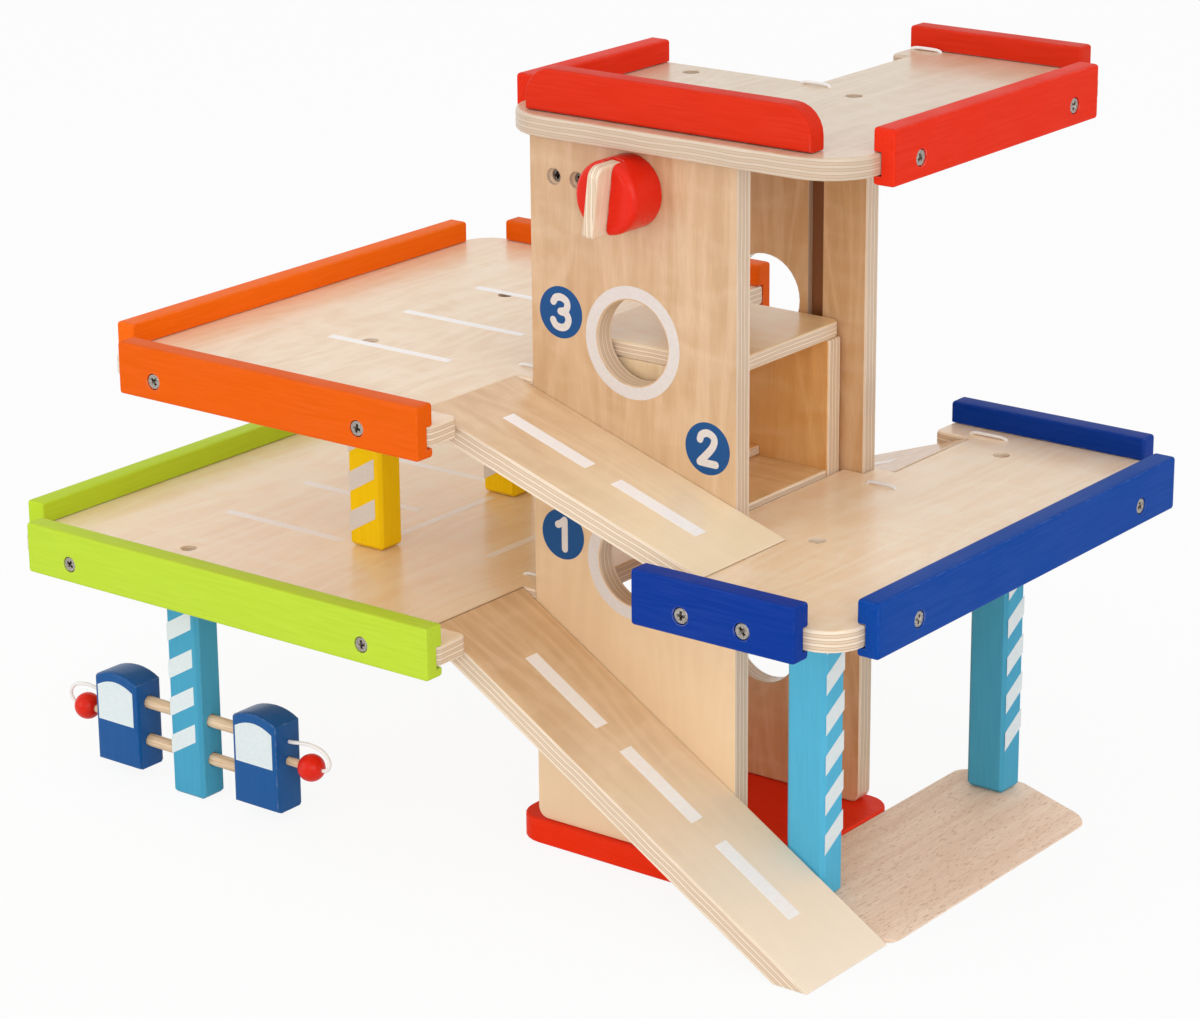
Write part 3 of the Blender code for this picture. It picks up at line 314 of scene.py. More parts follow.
def birch(name, origin, grain, depth_axis, thickness, seed, veneer):
    """Lacquered birch plywood: figured veneer on the faces and layers on the edges.

    The origin is on the board's lower face, in the row frame. grain and depth_axis are directions.
    """
    pale, warm, patch, shine, dark = (screen(*colour) for colour in VENEERS[veneer])
    n = Nodes(name + "_birch")
    along, deep = Vector(grain).normalized(), Vector(depth_axis).normalized()
    turn = Matrix((along, deep.cross(along), deep)).transposed().to_euler()
    sockets = {"Vector": n.where, "Location": origin, "Rotation": turn}
    local = n.add("Mapping", sockets, vector_type="TEXTURE").outputs[0]
    shift = (seed * 3.7, seed * 7.1, seed * 1.3)

    def wood(kind):
        """One of the plywood's noises, shifted to this board's own place in it."""
        scales, detail, distortion = WOOD_NOISES[kind]
        return n.noise(n.scaled(local, scales, shift), detail, distortion)

    figure, patches, ripple = wood("figure"), wood("patches"), wood("ripple")
    fibre, fleck = wood("fibre"), wood("fleck")
    face = n.mix(n.spread(figure, 0.3, 0.7), pale, warm)
    face = n.mix(n.spread(patches, 0.35, 0.7, 0.0, 0.5), face, patch)
    face = n.mix(n.spread(ripple, 0.4, 0.8, 0.0, 0.5), face, shine)
    arches = n.math("SINE", n.math("MULTIPLY", wood("swirl"), ARCH_TURNS), 0.0)
    face = n.mix(n.spread(arches, 0.1, 1.0, 0.0, 0.36), face, shine)
    face = n.mix(n.spread(arches, -1.0, -0.6, 0.1, 0.0), face, dark)
    face = n.mix(n.spread(fibre, 0.3, 0.75, 0.0, 0.25), face, dark)
    face = n.mix(n.spread(fleck, 0.72, 0.8, 0.0, 0.45), face, screen(*FLECK_TONE))
    lengthways, sideways, depth = n.add("SeparateXYZ", {0: local}).outputs
    # Painted light and reflection: paler towards the front wall's foot and the ramps' feet
    if name in PAINTED_LIGHT_FADES:
        reach, painted_light_tone = PAINTED_LIGHT_FADES[name]
        face = n.mix(n.spread(lengthways, *reach), face, screen(*painted_light_tone))
    # Painted shadow in the gap at the lower ramp's upper end
    if name == "ramp_lower":
        face = n.mix(n.spread(lengthways, *SHADOW_GAP, 0.8, 0.0), face, screen(*SHADOW_GAP_TONE))

    wobble = wood("wobble")
    level = n.math("MULTIPLY", depth, 1.0 / (thickness * MM))
    level = n.math("ADD", level, n.spread(wobble, 0.0, 1.0, -0.05, 0.05))
    layers = n.add("ValToRGB", {0: level})
    ramp = layers.color_ramp
    stops = layer_stops()
    ramp.elements[0].position, ramp.elements[0].color = stops[0]
    ramp.elements[1].position, ramp.elements[1].color = stops[1]
    for position, colour in stops[2:]:
        ramp.elements.new(position).color = colour
    streak, pores = wood("streak"), wood("pores")
    rim = n.mix(n.spread(streak, 0.4, 0.75, 0.0, 0.4), layers.outputs[0], screen(*STREAK_TONE))
    rim = n.mix(n.spread(pores, 0.62, 0.8, 0.0, 0.25), rim, screen(*PORE_TONE))
    if veneer in RIM_TINTS:
        rim = n.mix(RIM_TINTS[veneer], rim, screen(*RIM_TONE))

    sockets = {0: n.coords.outputs["Normal"], 1: deep}
    facing = n.add("VectorMath", sockets, operation="DOT_PRODUCT").outputs["Value"]
    broad = n.spread(n.math("ABSOLUTE", facing, 0.0), 0.6, 0.82)
    colour = n.mix(broad, rim, face)
    # Darker inside the guide grooves: partly the raw cut wood's own tone and partly painted shade
    if name in GROOVES:
        left, right = (n.math("ABSOLUTE", n.math("SUBTRACT", sideways, middle * MM), 0.0)
                       for middle in GROOVE_PLACES)
        beside = n.spread(n.math("MINIMUM", left, right), *GROOVE_SIDE, 1.0, 0.0)
        away = n.math("ABSOLUTE", n.math("SUBTRACT", depth, GROOVES[name] * MM), 0.0)
        groove_wood_and_shade = n.math("MULTIPLY", beside, n.spread(away, *GROOVE_DEPTH, 1.0, 0.0))
        colour = n.mix(groove_wood_and_shade, colour, screen(*GROOVE_WOOD_AND_SHADE_TONE))
    relief = n.math("ADD", n.math("MULTIPLY", fibre, 0.6), n.math("MULTIPLY", streak, 0.4))
    return n.finish(
        Base_Color=colour,
        Roughness=n.rough(fibre, 0.3, 0.42),
        Coat_Weight=0.45,
        Coat_Roughness=0.2,
        Normal=n.bump(relief, 0.25, 0.00006),
    )


# How much darker and lighter painted grain gets, and how much lighter an edge gets, partly wear
# and partly painted highlight
GRAIN_DARK, GRAIN_LIGHT, EDGE_WEAR_AND_HIGHLIGHT = 0.1, 0.012, 0.4


def paint(name, colour, grain, roughness=0.42, coat=0.0, gloss=0.05, grit=0.6):
    """Satin paint on wood, with faint grain along an axis and lighter edges, partly wear and
    partly painted highlight.
    """
    n = Nodes(name)
    fibre = n.noise(n.scaled(n.where, grained(900.0, 45.0, grain)), 3.0)
    cloud = n.noise(n.scaled(n.where, (35.0, 35.0, 35.0)), 2.0)
    base = screen(*colour)
    dark = tuple(channel * (1.0 - GRAIN_DARK * grit) for channel in base[:3]) + (1.0,)
    light = tuple(channel + (1.0 - channel) * GRAIN_LIGHT * grit for channel in base[:3]) + (1.0,)
    worn_and_highlit = tuple(channel + (1.0 - channel) * EDGE_WEAR_AND_HIGHLIGHT for channel in base[:3]) + (1.0,)
    shade = n.mix(n.spread(fibre, 0.3, 0.7), light, dark)
    shade = n.mix(n.spread(cloud, 0.3, 0.7, 0.0, 0.5), shade, base)
    rub = n.noise(n.scaled(n.where, (260.0, 260.0, 260.0)), 3.0)
    # Lighter edges: partly wear and partly painted highlight
    edge = n.edges(0.0007, 0.9, 0.995)
    edge_wear_and_highlight_mask = n.math("MULTIPLY", edge, n.spread(rub, 0.42, 0.66, 0.05, 0.6))
    return n.finish(
        Base_Color=n.mix(edge_wear_and_highlight_mask, shade, worn_and_highlit),
        Roughness=n.rough(cloud, roughness - 0.05, roughness + 0.06),
        Specular_IOR_Level=gloss,
        Coat_Weight=coat,
        Coat_Roughness=0.08,
        Normal=n.bump(fibre, 0.12 * grit, 0.00008),
    )


def beech():
    """Pinkish beech with its short dark flecks along Y."""
    n = Nodes("beech_wood")
    bands = n.noise(n.scaled(n.where, grained(190.0, 9.0, Y)), 3.0, 0.5)
    fleck = n.noise(n.scaled(n.where, grained(1500.0, 230.0, Y)), 1.0)
    fibre = n.noise(n.scaled(n.where, grained(2600.0, 90.0, Y)), 2.0)
    wood = n.mix(n.spread(bands, 0.3, 0.7), screen(255, 230, 206), screen(244, 212, 186))
    wood = n.mix(n.spread(fibre, 0.35, 0.75, 0.0, 0.4), wood, screen(222, 182, 154))
    wood = n.mix(n.spread(fleck, 0.58, 0.7, 0.0, 0.5), wood, screen(192, 146, 118))
    return n.finish(
        Base_Color=wood,
        Roughness=n.rough(fibre, 0.45, 0.58),
        Normal=n.bump(fibre, 0.25, 0.00006),
    )


def dowel(name, grain):
    """Pale turned wood with long fine fibres."""
    n = Nodes(name)
    fibre = n.noise(n.scaled(n.where, grained(1400.0, 60.0, grain)), 2.0)
    wood = n.mix(n.spread(fibre, 0.3, 0.7), screen(244, 216, 182), screen(218, 180, 140))
    return n.finish(
        Base_Color=wood,
        Roughness=n.rough(fibre, 0.42, 0.55),
        Normal=n.bump(fibre, 0.2, 0.00006),
    )


def cord_white():
    """White braided cord."""
    n = Nodes("white_cord")
    sockets = {"Vector": n.where, "Scale": 1500.0, "Distortion": 1.5, "Detail": 1.0}
    braid = n.add("TexWave", sockets, bands_direction="DIAGONAL").outputs["Fac"]
    shade = n.mix(n.spread(braid, 0.0, 1.0), screen(236, 233, 230), screen(252, 251, 250))
    return n.finish(
        Base_Color=shade,
        Roughness=0.6,
        Normal=n.bump(braid, 0.25, 0.00005),
    )


def steel(name, bright, dark):
    """Plated screw steel with fine turning marks."""
    n = Nodes(name)
    marks = n.noise(n.scaled(n.where, (2500.0, 2500.0, 2500.0)), 3.0)
    shade = n.mix(n.spread(marks, 0.3, 0.7), screen(*bright), screen(*dark))
    return n.finish(
        Base_Color=shade,
        Metallic=1.0,
        Roughness=n.rough(marks, 0.22, 0.42),
        Normal=n.bump(marks, 0.15, 0.00005),
    )


def ink(name, colour, pale, coat=0.0):
    """Printed ink on wood: the grain shows through a little."""
    n = Nodes(name)
    fibre = n.noise(n.scaled(n.where, grained(700.0, 260.0, Y)), 3.0)
    speck = n.noise(n.scaled(n.where, (2600.0, 2600.0, 2600.0)), 1.0)
    shade = n.mix(n.spread(fibre, 0.3, 0.75, 0.0, 0.45), screen(*colour), screen(*pale))
    shade = n.mix(n.spread(speck, 0.68, 0.8, 0.0, 0.3), shade, screen(*pale))
    return n.finish(
        Base_Color=shade,
        Specular_IOR_Level=0.25,
        Coat_Weight=coat,
        Coat_Roughness=0.2,
        Roughness=n.rough(fibre, 0.45, 0.58),
        Normal=n.bump(fibre, 0.15, 0.00004),
    )


red = paint("red_paint", (218, 46, 18), X)
# Lighter than the red along X: painted light on the side rails, with grain along Y
red_along_y_painted_light = paint("red_paint_along_y", (232, 46, 16), Y)
red_gloss = paint("red_gloss", (226, 34, 10), X, roughness=0.3, coat=0.3, grit=0.2)
# Lighter than the rails' red: painted light for the base, which lies in shade under the tower
red_base_painted_light = paint("red_base_paint", (246, 52, 16), X)
orange = paint("orange_paint", (232, 94, 0), X)
# Lighter than the orange along X: painted light on the side rails, with grain along Y
orange_along_y_painted_light = paint("orange_paint_along_y", (250, 108, 4), Y)
green = paint("green_paint", (190, 218, 58), X)
green_side = paint("green_paint_along_y", (190, 220, 50), Y)
blue = paint("blue_paint", (6, 54, 146), X)
# Lighter than the blue along X: painted light on the side rails, with grain along Y
blue_along_y_painted_light = paint("blue_paint_along_y", (6, 68, 156), Y)
sky = paint("light_blue_paint", (86, 182, 218), Z)
# A darker copy of the light blue: painted shade for the columns that lie in shade
sky_painted_shade = paint("light_blue_paint_in_shade", (76, 166, 200), Z)
yellow = paint("yellow_paint", (255, 210, 10), Z)
pump_blue = paint(
    "pump_blue_paint", (12, 84, 150), Z, roughness=0.35, coat=0.2, gloss=0.1, grit=0.4,
)
white_ink = ink("white_print", (224, 216, 211), (212, 202, 195))
line_ink = ink("deck_line_print", (255, 252, 250), (250, 242, 236), coat=0.6)
cool_ink = ink("cool_white_print", (226, 234, 236), (208, 224, 228))
blue_ink = ink("disc_blue_print", (14, 76, 136), (24, 84, 140))
cord_look = cord_white()
steel_look = steel("screw_steel", (196, 190, 182), (120, 112, 104))
# Darker steel: painted shade for the screws sunk deep in the front wall's bores
sunk_steel_painted_shade_look = steel("sunk_screw_steel_painted_shade", (150, 138, 126), (64, 54, 46))


# CAD nodes: softer edges and their materials

# How near two points are one point, in metres, and how wide each rounded edge is, in millimetres
WELD_REACH, EDGE_WIDTH = 0.00001, 0.25
# Faces that turn by less than the first are one face, and edges by more than the second are sharp
FLAT_ANGLE, SHARP_ANGLE = math.radians(0.5), math.radians(35.0)


def soften(node):
    """Rounds a CAD node's sharp edges a little with modifiers, and shades its faces flat."""
    weld = node.modifiers.new("Weld", "WELD")
    weld.merge_threshold = WELD_REACH
    merge = node.modifiers.new("Flat faces", "DECIMATE")
    merge.decimate_type = "DISSOLVE"
    merge.angle_limit = FLAT_ANGLE
    bevel = node.modifiers.new("Edges", "BEVEL")
    bevel.width = EDGE_WIDTH * MM
    bevel.segments = 2
    bevel.limit_method = "ANGLE"
    bevel.angle_limit = SHARP_ANGLE
    bevel.use_clamp_overlap = True
    flat = node.modifiers.new("Flat shading", "WEIGHTED_NORMAL")
    flat.weight = 100
    flat.keep_sharp = False


def dress(name, material):
    """Gives a CAD node its material and softer edges."""
    node = nodes[name]
    node.data.materials.clear()
    node.data.materials.append(material)
    soften(node)


AXES = (Vector((1.0, 0.0, 0.0)), Vector((0.0, 1.0, 0.0)), Vector((0.0, 0.0, 1.0)))
RIGHT, BACK, UP = AXES
# Each level or upright birch board: its grain's axis, its thickness' axis and its veneer
BOARDS = {
    "wall_front": (Z, Y, "wall"),
    "wall_back": (Z, Y, "inner_wall"),
    "cross_board": (Y, Z, "wall"),
    "green_deck": (Y, Z, "green_deck"),
    "orange_deck": (Y, Z, "deck"),
    "blue_deck": (Y, Z, "blue_deck"),
    "roof_deck": (Y, Z, "roof"),
    "cabin_floor": (X, Z, "cabin_floor"),
    "cabin_roof": (X, Z, "shelf"),
    "cabin_wall_front": (Z, Y, "cabin_outside"),
    "cabin_wall_back": (Z, Y, "cabin"),
    "cabin_stop": (Y, Z, "cabin"),
    "knob_grip": (Z, X, "grip"),
}
# Upper end and foot of each ramp as (x, z)
RAMPS = {
    "ramp_upper": ((-9.6, ORANGE_TOP), (136.3, BLUE_TOP)),
    "ramp_lower": ((-7.2, GREEN_TOP), (188.5, 0.0)),
    "ramp_back": ((118.0, BLUE_TOP), (-25.5, GREEN_TOP)),
}


def ramp_slope(top, foot):
    """A ramp's direction along its length, towards +X."""
    slope = Vector((foot[0] - top[0], 0.0, foot[1] - top[1])).normalized()
    return -slope if slope.x < 0 else slope


def dress_boards():
    """Birch on every board, with its own grain."""
    for seed, (name, (grain, deep, veneer)) in enumerate(BOARDS.items(), start=1):
        low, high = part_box(name)
        thickness = (high[deep] - low[deep]) / MM
        dress(name, birch(name, low, AXES[grain], AXES[deep], thickness, seed, veneer))
    for seed, (name, (top, foot)) in enumerate(RAMPS.items(), start=20):
        slope = ramp_slope(top, foot)
        normal = Vector((-slope.z, 0.0, slope.x))
        origin = place(top[0], 0.0, top[1]) - normal * PLY * MM
        dress(name, birch(name, origin, slope, normal, PLY, seed, "ramp"))


def dress_painted():
    """Paint, beech and turned wood on the CAD nodes that aren't boards and aren't replaced."""
    # The red, orange and blue paints along Y are lighter, as painted light on the side rails
    for colour, along_x, along_y in (
        ("roof", red, red_along_y_painted_light), ("orange", orange, orange_along_y_painted_light),
        ("green", green, green_side), ("blue", blue, blue_along_y_painted_light),
    ):
        for side in ("front", "back", "left", "right"):
            name = f"{colour}_rail_{side}"
            if name in nodes:
                dress(name, along_x if side in ("front", "back") else along_y)
    for name, material in (
        # The base's lighter red is painted light
        ("base_board", red_base_painted_light), ("beech_plate", beech()), ("knob_disc", red_gloss),
        ("column_orange_front", yellow), ("column_orange_back", yellow),
        # The darker light blue on these columns is painted shade
        ("column_blue_front", sky), ("column_blue_back", sky_painted_shade),
        ("column_green_back", sky_painted_shade), ("column_pumps", sky_painted_shade),
        ("pump_left", pump_blue), ("pump_right", pump_blue),
    ):
        dress(name, material)
    along_x = dowel("dowel_wood", X)
    for name in ("pump_dowel_low", "pump_dowel_high", "nozzle_peg_left", "nozzle_peg_right"):
        dress(name, along_x)
    dress("hoist_axle", dowel("dowel_wood_along_y", Y))


dress_boards()
dress_painted()


# New pieces


def add_piece(name, mesh, material, body):
    """A new piece that rides on a body, or is left unattached where the body is None."""
    mesh.materials.clear()
    mesh.materials.append(material)
    piece = bpy.data.objects.new(name, mesh)
    link(piece)
    if body:
        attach(piece, body)
    return piece


def as_mesh(shape, name):
    """Turns an edit mesh into a mesh and frees it."""
    bmesh.ops.recalc_face_normals(shape, faces=shape.faces)
    mesh = bpy.data.meshes.new(name)
    shape.to_mesh(mesh)
    shape.free()
    return mesh


def add_plate(shape, outline, origin, across, up, thickness):
    """Adds a thin plate to an edit mesh: an outline in millimetres on a face's own axes."""
    normal = across.cross(up)
    low = [shape.verts.new(origin + (across * u + up * v) * MM) for u, v in outline]
    raised = normal * thickness * MM
    high = [shape.verts.new(vert.co + raised) for vert in low]
    shape.faces.new(high)
    shape.faces.new(low[::-1])
    for index in range(len(low)):
        after = (index + 1) % len(low)
        shape.faces.new((low[index], low[after], high[after], high[index]))


def add_ring(shape, inner, outer, origin, across, up, thickness, steps=72):
    """Adds a thin flat ring to an edit mesh."""
    raised = across.cross(up) * thickness * MM
    rows = []
    for step in range(steps):
        angle = math.tau * step / steps
        spoke = (across * math.cos(angle) + up * math.sin(angle)) * MM
        near, far = origin + spoke * inner, origin + spoke * outer
        corners = (near, far, far + raised, near + raised)
        rows.append([shape.verts.new(corner) for corner in corners])
    for row, after in zip(rows, rows[1:] + rows[:1]):
        for side in range(4):
            beside = (side + 1) % 4
            shape.faces.new((row[side], row[beside], after[beside], after[side]))


def circle(radius, steps=64):
    """A round outline."""
    turns = [math.tau * step / steps for step in range(steps)]
    return [(radius * math.cos(angle), radius * math.sin(angle)) for angle in turns]


def smooth_route(points, steps):
    """Points along a smooth curve through given ones."""
    padded = [2 * points[0] - points[1], *points, 2 * points[-1] - points[-2]]
    route = []
    for p0, p1, p2, p3 in zip(padded, padded[1:], padded[2:], padded[3:]):
        for step in range(steps):
            t = step / steps
            route.append(
                0.5 * (2 * p1 + (p2 - p0) * t + (2 * p0 - 5 * p1 + 4 * p2 - p3) * t**2
                       + (3 * p1 - p0 - 3 * p2 + p3) * t**3)
            )
    return [*route, points[-1]]


def stroke(points, width, steps=6, cap_steps=8):
    """The outline of a rounded stroke through points."""
    route = smooth_route([Vector(point) for point in points], steps)
    half = width / 2
    left, right = [], []
    for index, point in enumerate(route):
        before = route[max(index - 1, 0)]
        after = route[min(index + 1, len(route) - 1)]
        ahead = (after - before).normalized()
        side = Vector((-ahead.y, ahead.x)) * half
        left.append(point + side)
        right.append(point - side)
    outline = list(left)
    for end, rim in ((route[-1], left[-1]), (route[0], right[0])):
        first = math.atan2(rim.y - end.y, rim.x - end.x)
        for step in range(1, cap_steps):
            angle = first - math.pi * step / cap_steps
            outline.append(end + half * Vector((math.cos(angle), math.sin(angle))))
        if end == route[-1]:
            outline += right[::-1]
    return [tuple(point) for point in outline]


def below(outline, limit):
    """The part of an outline below a height."""
    kept = []
    for first, second in zip(outline, outline[1:] + outline[:1]):
        if first[1] <= limit:
            kept.append(first)
        if (first[1] <= limit) != (second[1] <= limit):
            share = (limit - first[1]) / (second[1] - first[1])
            kept.append((first[0] + (second[0] - first[0]) * share, limit))
    return kept


def add_print(name, plates, material, thickness=PRINT_THICKNESS):
    """One piece of thin printed plates, each an (outline, origin, across, up)."""
    shape = bmesh.new()
    for outline, origin, across, up in plates:
        add_plate(shape, outline, origin, across, up, thickness)
    add_piece(name, as_mesh(shape, name), material, "garage")


def rectangle(u0, v0, u1, v1):
    """A rectangular outline."""
    return [(u0, v0), (u1, v0), (u1, v1), (u0, v1)]


LINE_WIDTH = 4.6


def add_deck_lines():
    """White lines that mark the parking spaces, each made as (left, front, right, back)."""
    half = LINE_WIDTH / 2
    rows = (
        ("orange_deck_lines", ORANGE_TOP, [
            (-117.0, y - half, -47.0, y + half) for y in (0.0, 52.0, 104.0)
        ]),
        ("green_deck_lines", GREEN_TOP, [
            *[(-185.0, y - half, -113.0, y + half) for y in (0.0, 54.0, 108.0)],
            *[(x - half, 22.0, x + half, 90.0) for x in (-98.0, -45.0)],
        ]),
    )
    for name, top, lines in rows:
        origin = place(0.0, 0.0, top)
        plates = [(rectangle(*line), origin, RIGHT, BACK) for line in lines]
        add_print(name, plates, line_ink)


# The dashes of each ramp: where each starts and ends in X, their middle in Y and their half width
DASHES = {
    "ramp_upper": (((11.5, 55.4), (69.0, 112.9)), -31.7, 3.75),
    "ramp_lower": (((20.9, 59.4), (71.8, 110.0), (122.0, 160.4)), -30.3, 4.0),
    "ramp_back": (((-4.9, 39.0), (52.6, 96.5)), 137.7, 3.75),
}


def add_dashes():
    """The white dashes along the middle of each ramp."""
    for name, (spans, middle, half) in DASHES.items():
        top, foot = RAMPS[name]
        slope = ramp_slope(top, foot)
        origin = place(top[0], middle, top[1])
        plates = [
            (rectangle((start - top[0]) / slope.x, -half, (end - top[0]) / slope.x, half),
             origin, slope, BACK)
            for start, end in spans
        ]
        add_print(name + "_dashes", plates, line_ink)


# The sides of the band of stripes on a column's face, from the column's middle
BANDS = {"front": (-8.9, 6.4), "right": (-6.6, 6.9)}
# Each kind of stripes: its face, the lowest stripe's lower left and right heights, the stripes'
# height and pitch, where they end, and their ink
STRIPES = {
    "green": ("front", (19.5, 28.4), 9.0, 18.5, 110.0, cool_ink),
    "orange": ("front", (126.6, 135.6), 9.5, 19.0, 207.0, white_ink),
    "blue": ("right", (31.8, 39.8), 9.1, 18.2, 159.9, cool_ink),
}
# Each striped column: its middle in X and Y, and its kind of stripes
STRIPED_COLUMNS = {
    "column_pumps": (GREEN_COLUMN, PUMP_LINE, "green"),
    "column_green_back": (GREEN_COLUMN, GREEN_COLUMN_BACK, "green"),
    "column_orange_front": (YELLOW_COLUMN, FRONT_WALL_MIDDLE, "orange"),
    "column_orange_back": (YELLOW_COLUMN, BACK_WALL_MIDDLE, "orange"),
    "column_blue_front": (BLUE_COLUMN, BLUE_COLUMN_FRONT, "blue"),
    "column_blue_back": (BLUE_COLUMN, BLUE_COLUMN_BACK, "blue"),
}


def add_stripes():
    """Slanted white stripes up one face of each column."""
    for name, (x, y, kind) in STRIPED_COLUMNS.items():
        face, (left, right), height, pitch, top, look = STRIPES[kind]
        start, end = BANDS[face]
        if face == "front":
            origin, across = place(x, y - COLUMN_HALF_DEPTH, 0.0), RIGHT
        else:
            origin, across = place(x + COLUMN_HALF_WIDTH, y, 0.0), BACK
        plates = []
        level = 0.0
        while left + level < top:
            outline = below([
                (start, left + level), (end, right + level),
                (end, right + level + height), (start, left + level + height),
            ], top)
            plates.append((outline, origin, across, UP))
            level += pitch
        add_print(name + "_stripes", plates, look)


# A pump's screen: half its width, and the heights of its lower edge, its sides' ends and its crown
SCREEN_HALF_WIDTH, SCREEN_LOW, SCREEN_SIDE, SCREEN_CROWN = 11.2, 26.6, 43.6, 46.9
SCREEN_STEPS = 12


def add_screens():
    """The white arched screen on each pump."""
    half = SCREEN_HALF_WIDTH
    outline = [(-half, SCREEN_LOW), (half, SCREEN_LOW)]
    for step in range(SCREEN_STEPS + 1):
        u = half - 2 * half * step / SCREEN_STEPS
        outline.append((u, SCREEN_SIDE + (SCREEN_CROWN - SCREEN_SIDE) * (1 - (u / half) ** 2)))
    for name, offset in (("pump_left", -PUMP_OFFSET), ("pump_right", PUMP_OFFSET)):
        plate = (outline, place(GREEN_COLUMN + offset, PUMP_FACE, 0.0), RIGHT, UP)
        add_print(name + "_screen", [plate], cool_ink)


# Each number: the middle of its disc in X and Z, and its strokes from there
NUMERALS = {
    "3": ((15.8, 249.3), [
        [(-4.0, 4.3), (-2.6, 6.2), (0.2, 6.7), (3.0, 5.4), (3.5, 3.0), (2.2, 1.0), (-0.2, 0.4)],
        [
            (-0.2, 0.4), (2.8, -0.2), (4.1, -2.8), (2.9, -5.6), (0.2, -6.7), (-2.8, -6.0),
            (-4.3, -3.9),
        ],
    ]),
    "2": ((93.3, 202.4), [
        [(-3.9, 3.6), (-3.0, 5.7), (0.0, 6.9), (3.1, 5.5), (3.4, 2.8), (1.4, -0.6), (-4.0, -6.3)],
        [(-4.0, -6.3), (0.0, -6.4), (4.2, -6.4)],
    ]),
    "1": ((15.6, 148.9), [
        [(-2.8, 4.0), (-0.6, 5.2), (0.9, 6.6)],
        [(0.9, 6.6), (0.9, 0.0), (0.9, -6.6)],
    ]),
}
DISC_RADIUS = 11.5
STROKE_WIDTH = 3.3
# How much thicker a number's first stroke is than other prints, and each stroke than the last
NUMBER_RISE, STROKE_RISE = 0.03, 0.01


def add_numbers():
    """Blue discs on the front wall, each with a rounded white number."""
    for digit, ((x, z), strokes) in NUMERALS.items():
        origin = place(x, 0.0, z)
        add_print(
            f"disc_{digit}", [(circle(DISC_RADIUS), origin, RIGHT, UP)], blue_ink,
            DISC_THICKNESS,
        )
        shape = bmesh.new()
        for index, points in enumerate(strokes):
            outline = stroke(points, STROKE_WIDTH)
            raised = PRINT_THICKNESS + NUMBER_RISE + STROKE_RISE * index
            add_plate(shape, outline[::-1], origin, RIGHT, UP, raised)
        name = f"number_{digit}"
        add_piece(name, as_mesh(shape, name), white_ink, "garage")


# The front wall's windows: their middle in X and each one's height
WINDOW_MIDDLE, WINDOW_HEIGHTS = 54.0, {"high": 241.9, "low": 142.0}
# The inner and the outer radius of their rings
RING_RADII = (19.3, 24.8)


def add_window_rings():
    """White rings printed round the front wall's windows."""
    for side, height in WINDOW_HEIGHTS.items():
        name = "window_ring_" + side
        shape = bmesh.new()
        middle = place(WINDOW_MIDDLE, 0.0, height)
        add_ring(shape, *RING_RADII, middle, RIGHT, UP, PRINT_THICKNESS)
        add_piece(name, as_mesh(shape, name), white_ink, "garage")


def turned_mesh(profile, steps, name):
    """A mesh turned round Z from a profile of (radius, height) with both ends on the axis."""
    shape = bmesh.new()
    rings = []
    for radius, height in profile:
        if radius == 0:
            rings.append([shape.verts.new((0.0, 0.0, height * MM))])
            continue
        rings.append([
            shape.verts.new((
                radius * MM * math.cos(math.tau * step / steps),
                radius * MM * math.sin(math.tau * step / steps),
                height * MM,
            ))
            for step in range(steps)
        ])
    for upper, lower in zip(rings, rings[1:]):
        for step in range(steps):
            after = (step + 1) % steps
            corners = [upper[step % len(upper)], upper[after % len(upper)]]
            corners += [lower[after % len(lower)], lower[step % len(lower)]]
            unique = []
            for corner in corners:
                if corner not in unique:
                    unique.append(corner)
            shape.faces.new(unique)
    return as_mesh(shape, name)


SCREW_STEPS = 40
SCREW_SHARP_ANGLE = math.radians(32.0)
# A screw below its head as (radius, height)
SCREW_SHANK = [(1.55, -2.9), (1.3, -3.4), (1.3, -19.2), (0.0, -20.0)]
# The top and the bottom of its cross recess: the height, half an arm's length as a share of the
# head, and half an arm's width
RECESS_ENDS = ((0.6, 0.33, 0.72), (-1.9, 0.14, 0.4))
# The faces of a block with its corners in two rounds of four
BLOCK_FACES = (
    (0, 1, 2, 3), (7, 6, 5, 4), (0, 4, 5, 1), (1, 5, 6, 2), (2, 6, 7, 3), (3, 7, 4, 0),
)


def screw_mesh(head, name):
    """A countersunk screw with a cross recess; its head's top is at the origin and faces +Z."""
    radius = head / 2
    rim = [(0.0, 0.0), (radius - 0.25, 0.0), (radius, -0.2), (radius, -0.55)]
    body = turned_mesh(rim + SCREW_SHANK, SCREW_STEPS, name)
    shape = bmesh.new()
    for turn in (0.0, math.pi / 2):
        corners = []
        for height, share, width in RECESS_ENDS:
            length = head * share
            for u, v in rectangle(-length, -width, length, width):
                corner = Matrix.Rotation(turn, 3, "Z") @ Vector((u, v, height))
                corners.append(shape.verts.new(corner * MM))
        for face in BLOCK_FACES:
            shape.faces.new([corners[index] for index in face])
    cross = as_mesh(shape, name + "_cross")
    carved = bpy.data.objects.new(name, body)
    tool = bpy.data.objects.new(name + "_tool", cross)
    for helper in (carved, tool):
        link(helper)
    cut = carved.modifiers.new("Recess", "BOOLEAN")
    cut.solver = "EXACT"
    cut.use_self = True
    cut.object = tool
    bpy.context.view_layer.update()
    evaluated = carved.evaluated_get(bpy.context.evaluated_depsgraph_get())
    mesh = bpy.data.meshes.new_from_object(evaluated)
    for helper in (carved, tool):
        bpy.data.objects.remove(helper, do_unlink=True)
    mesh.shade_smooth()
    mesh.set_sharp_from_angle(angle=SCREW_SHARP_ANGLE)
    return mesh


HEAD_TURNS = {
    "up": Matrix.Identity(4),
    "right": Matrix.Rotation(math.pi / 2, 4, "Y"),
    "front": Matrix.Rotation(math.pi / 2, 4, "X"),
}
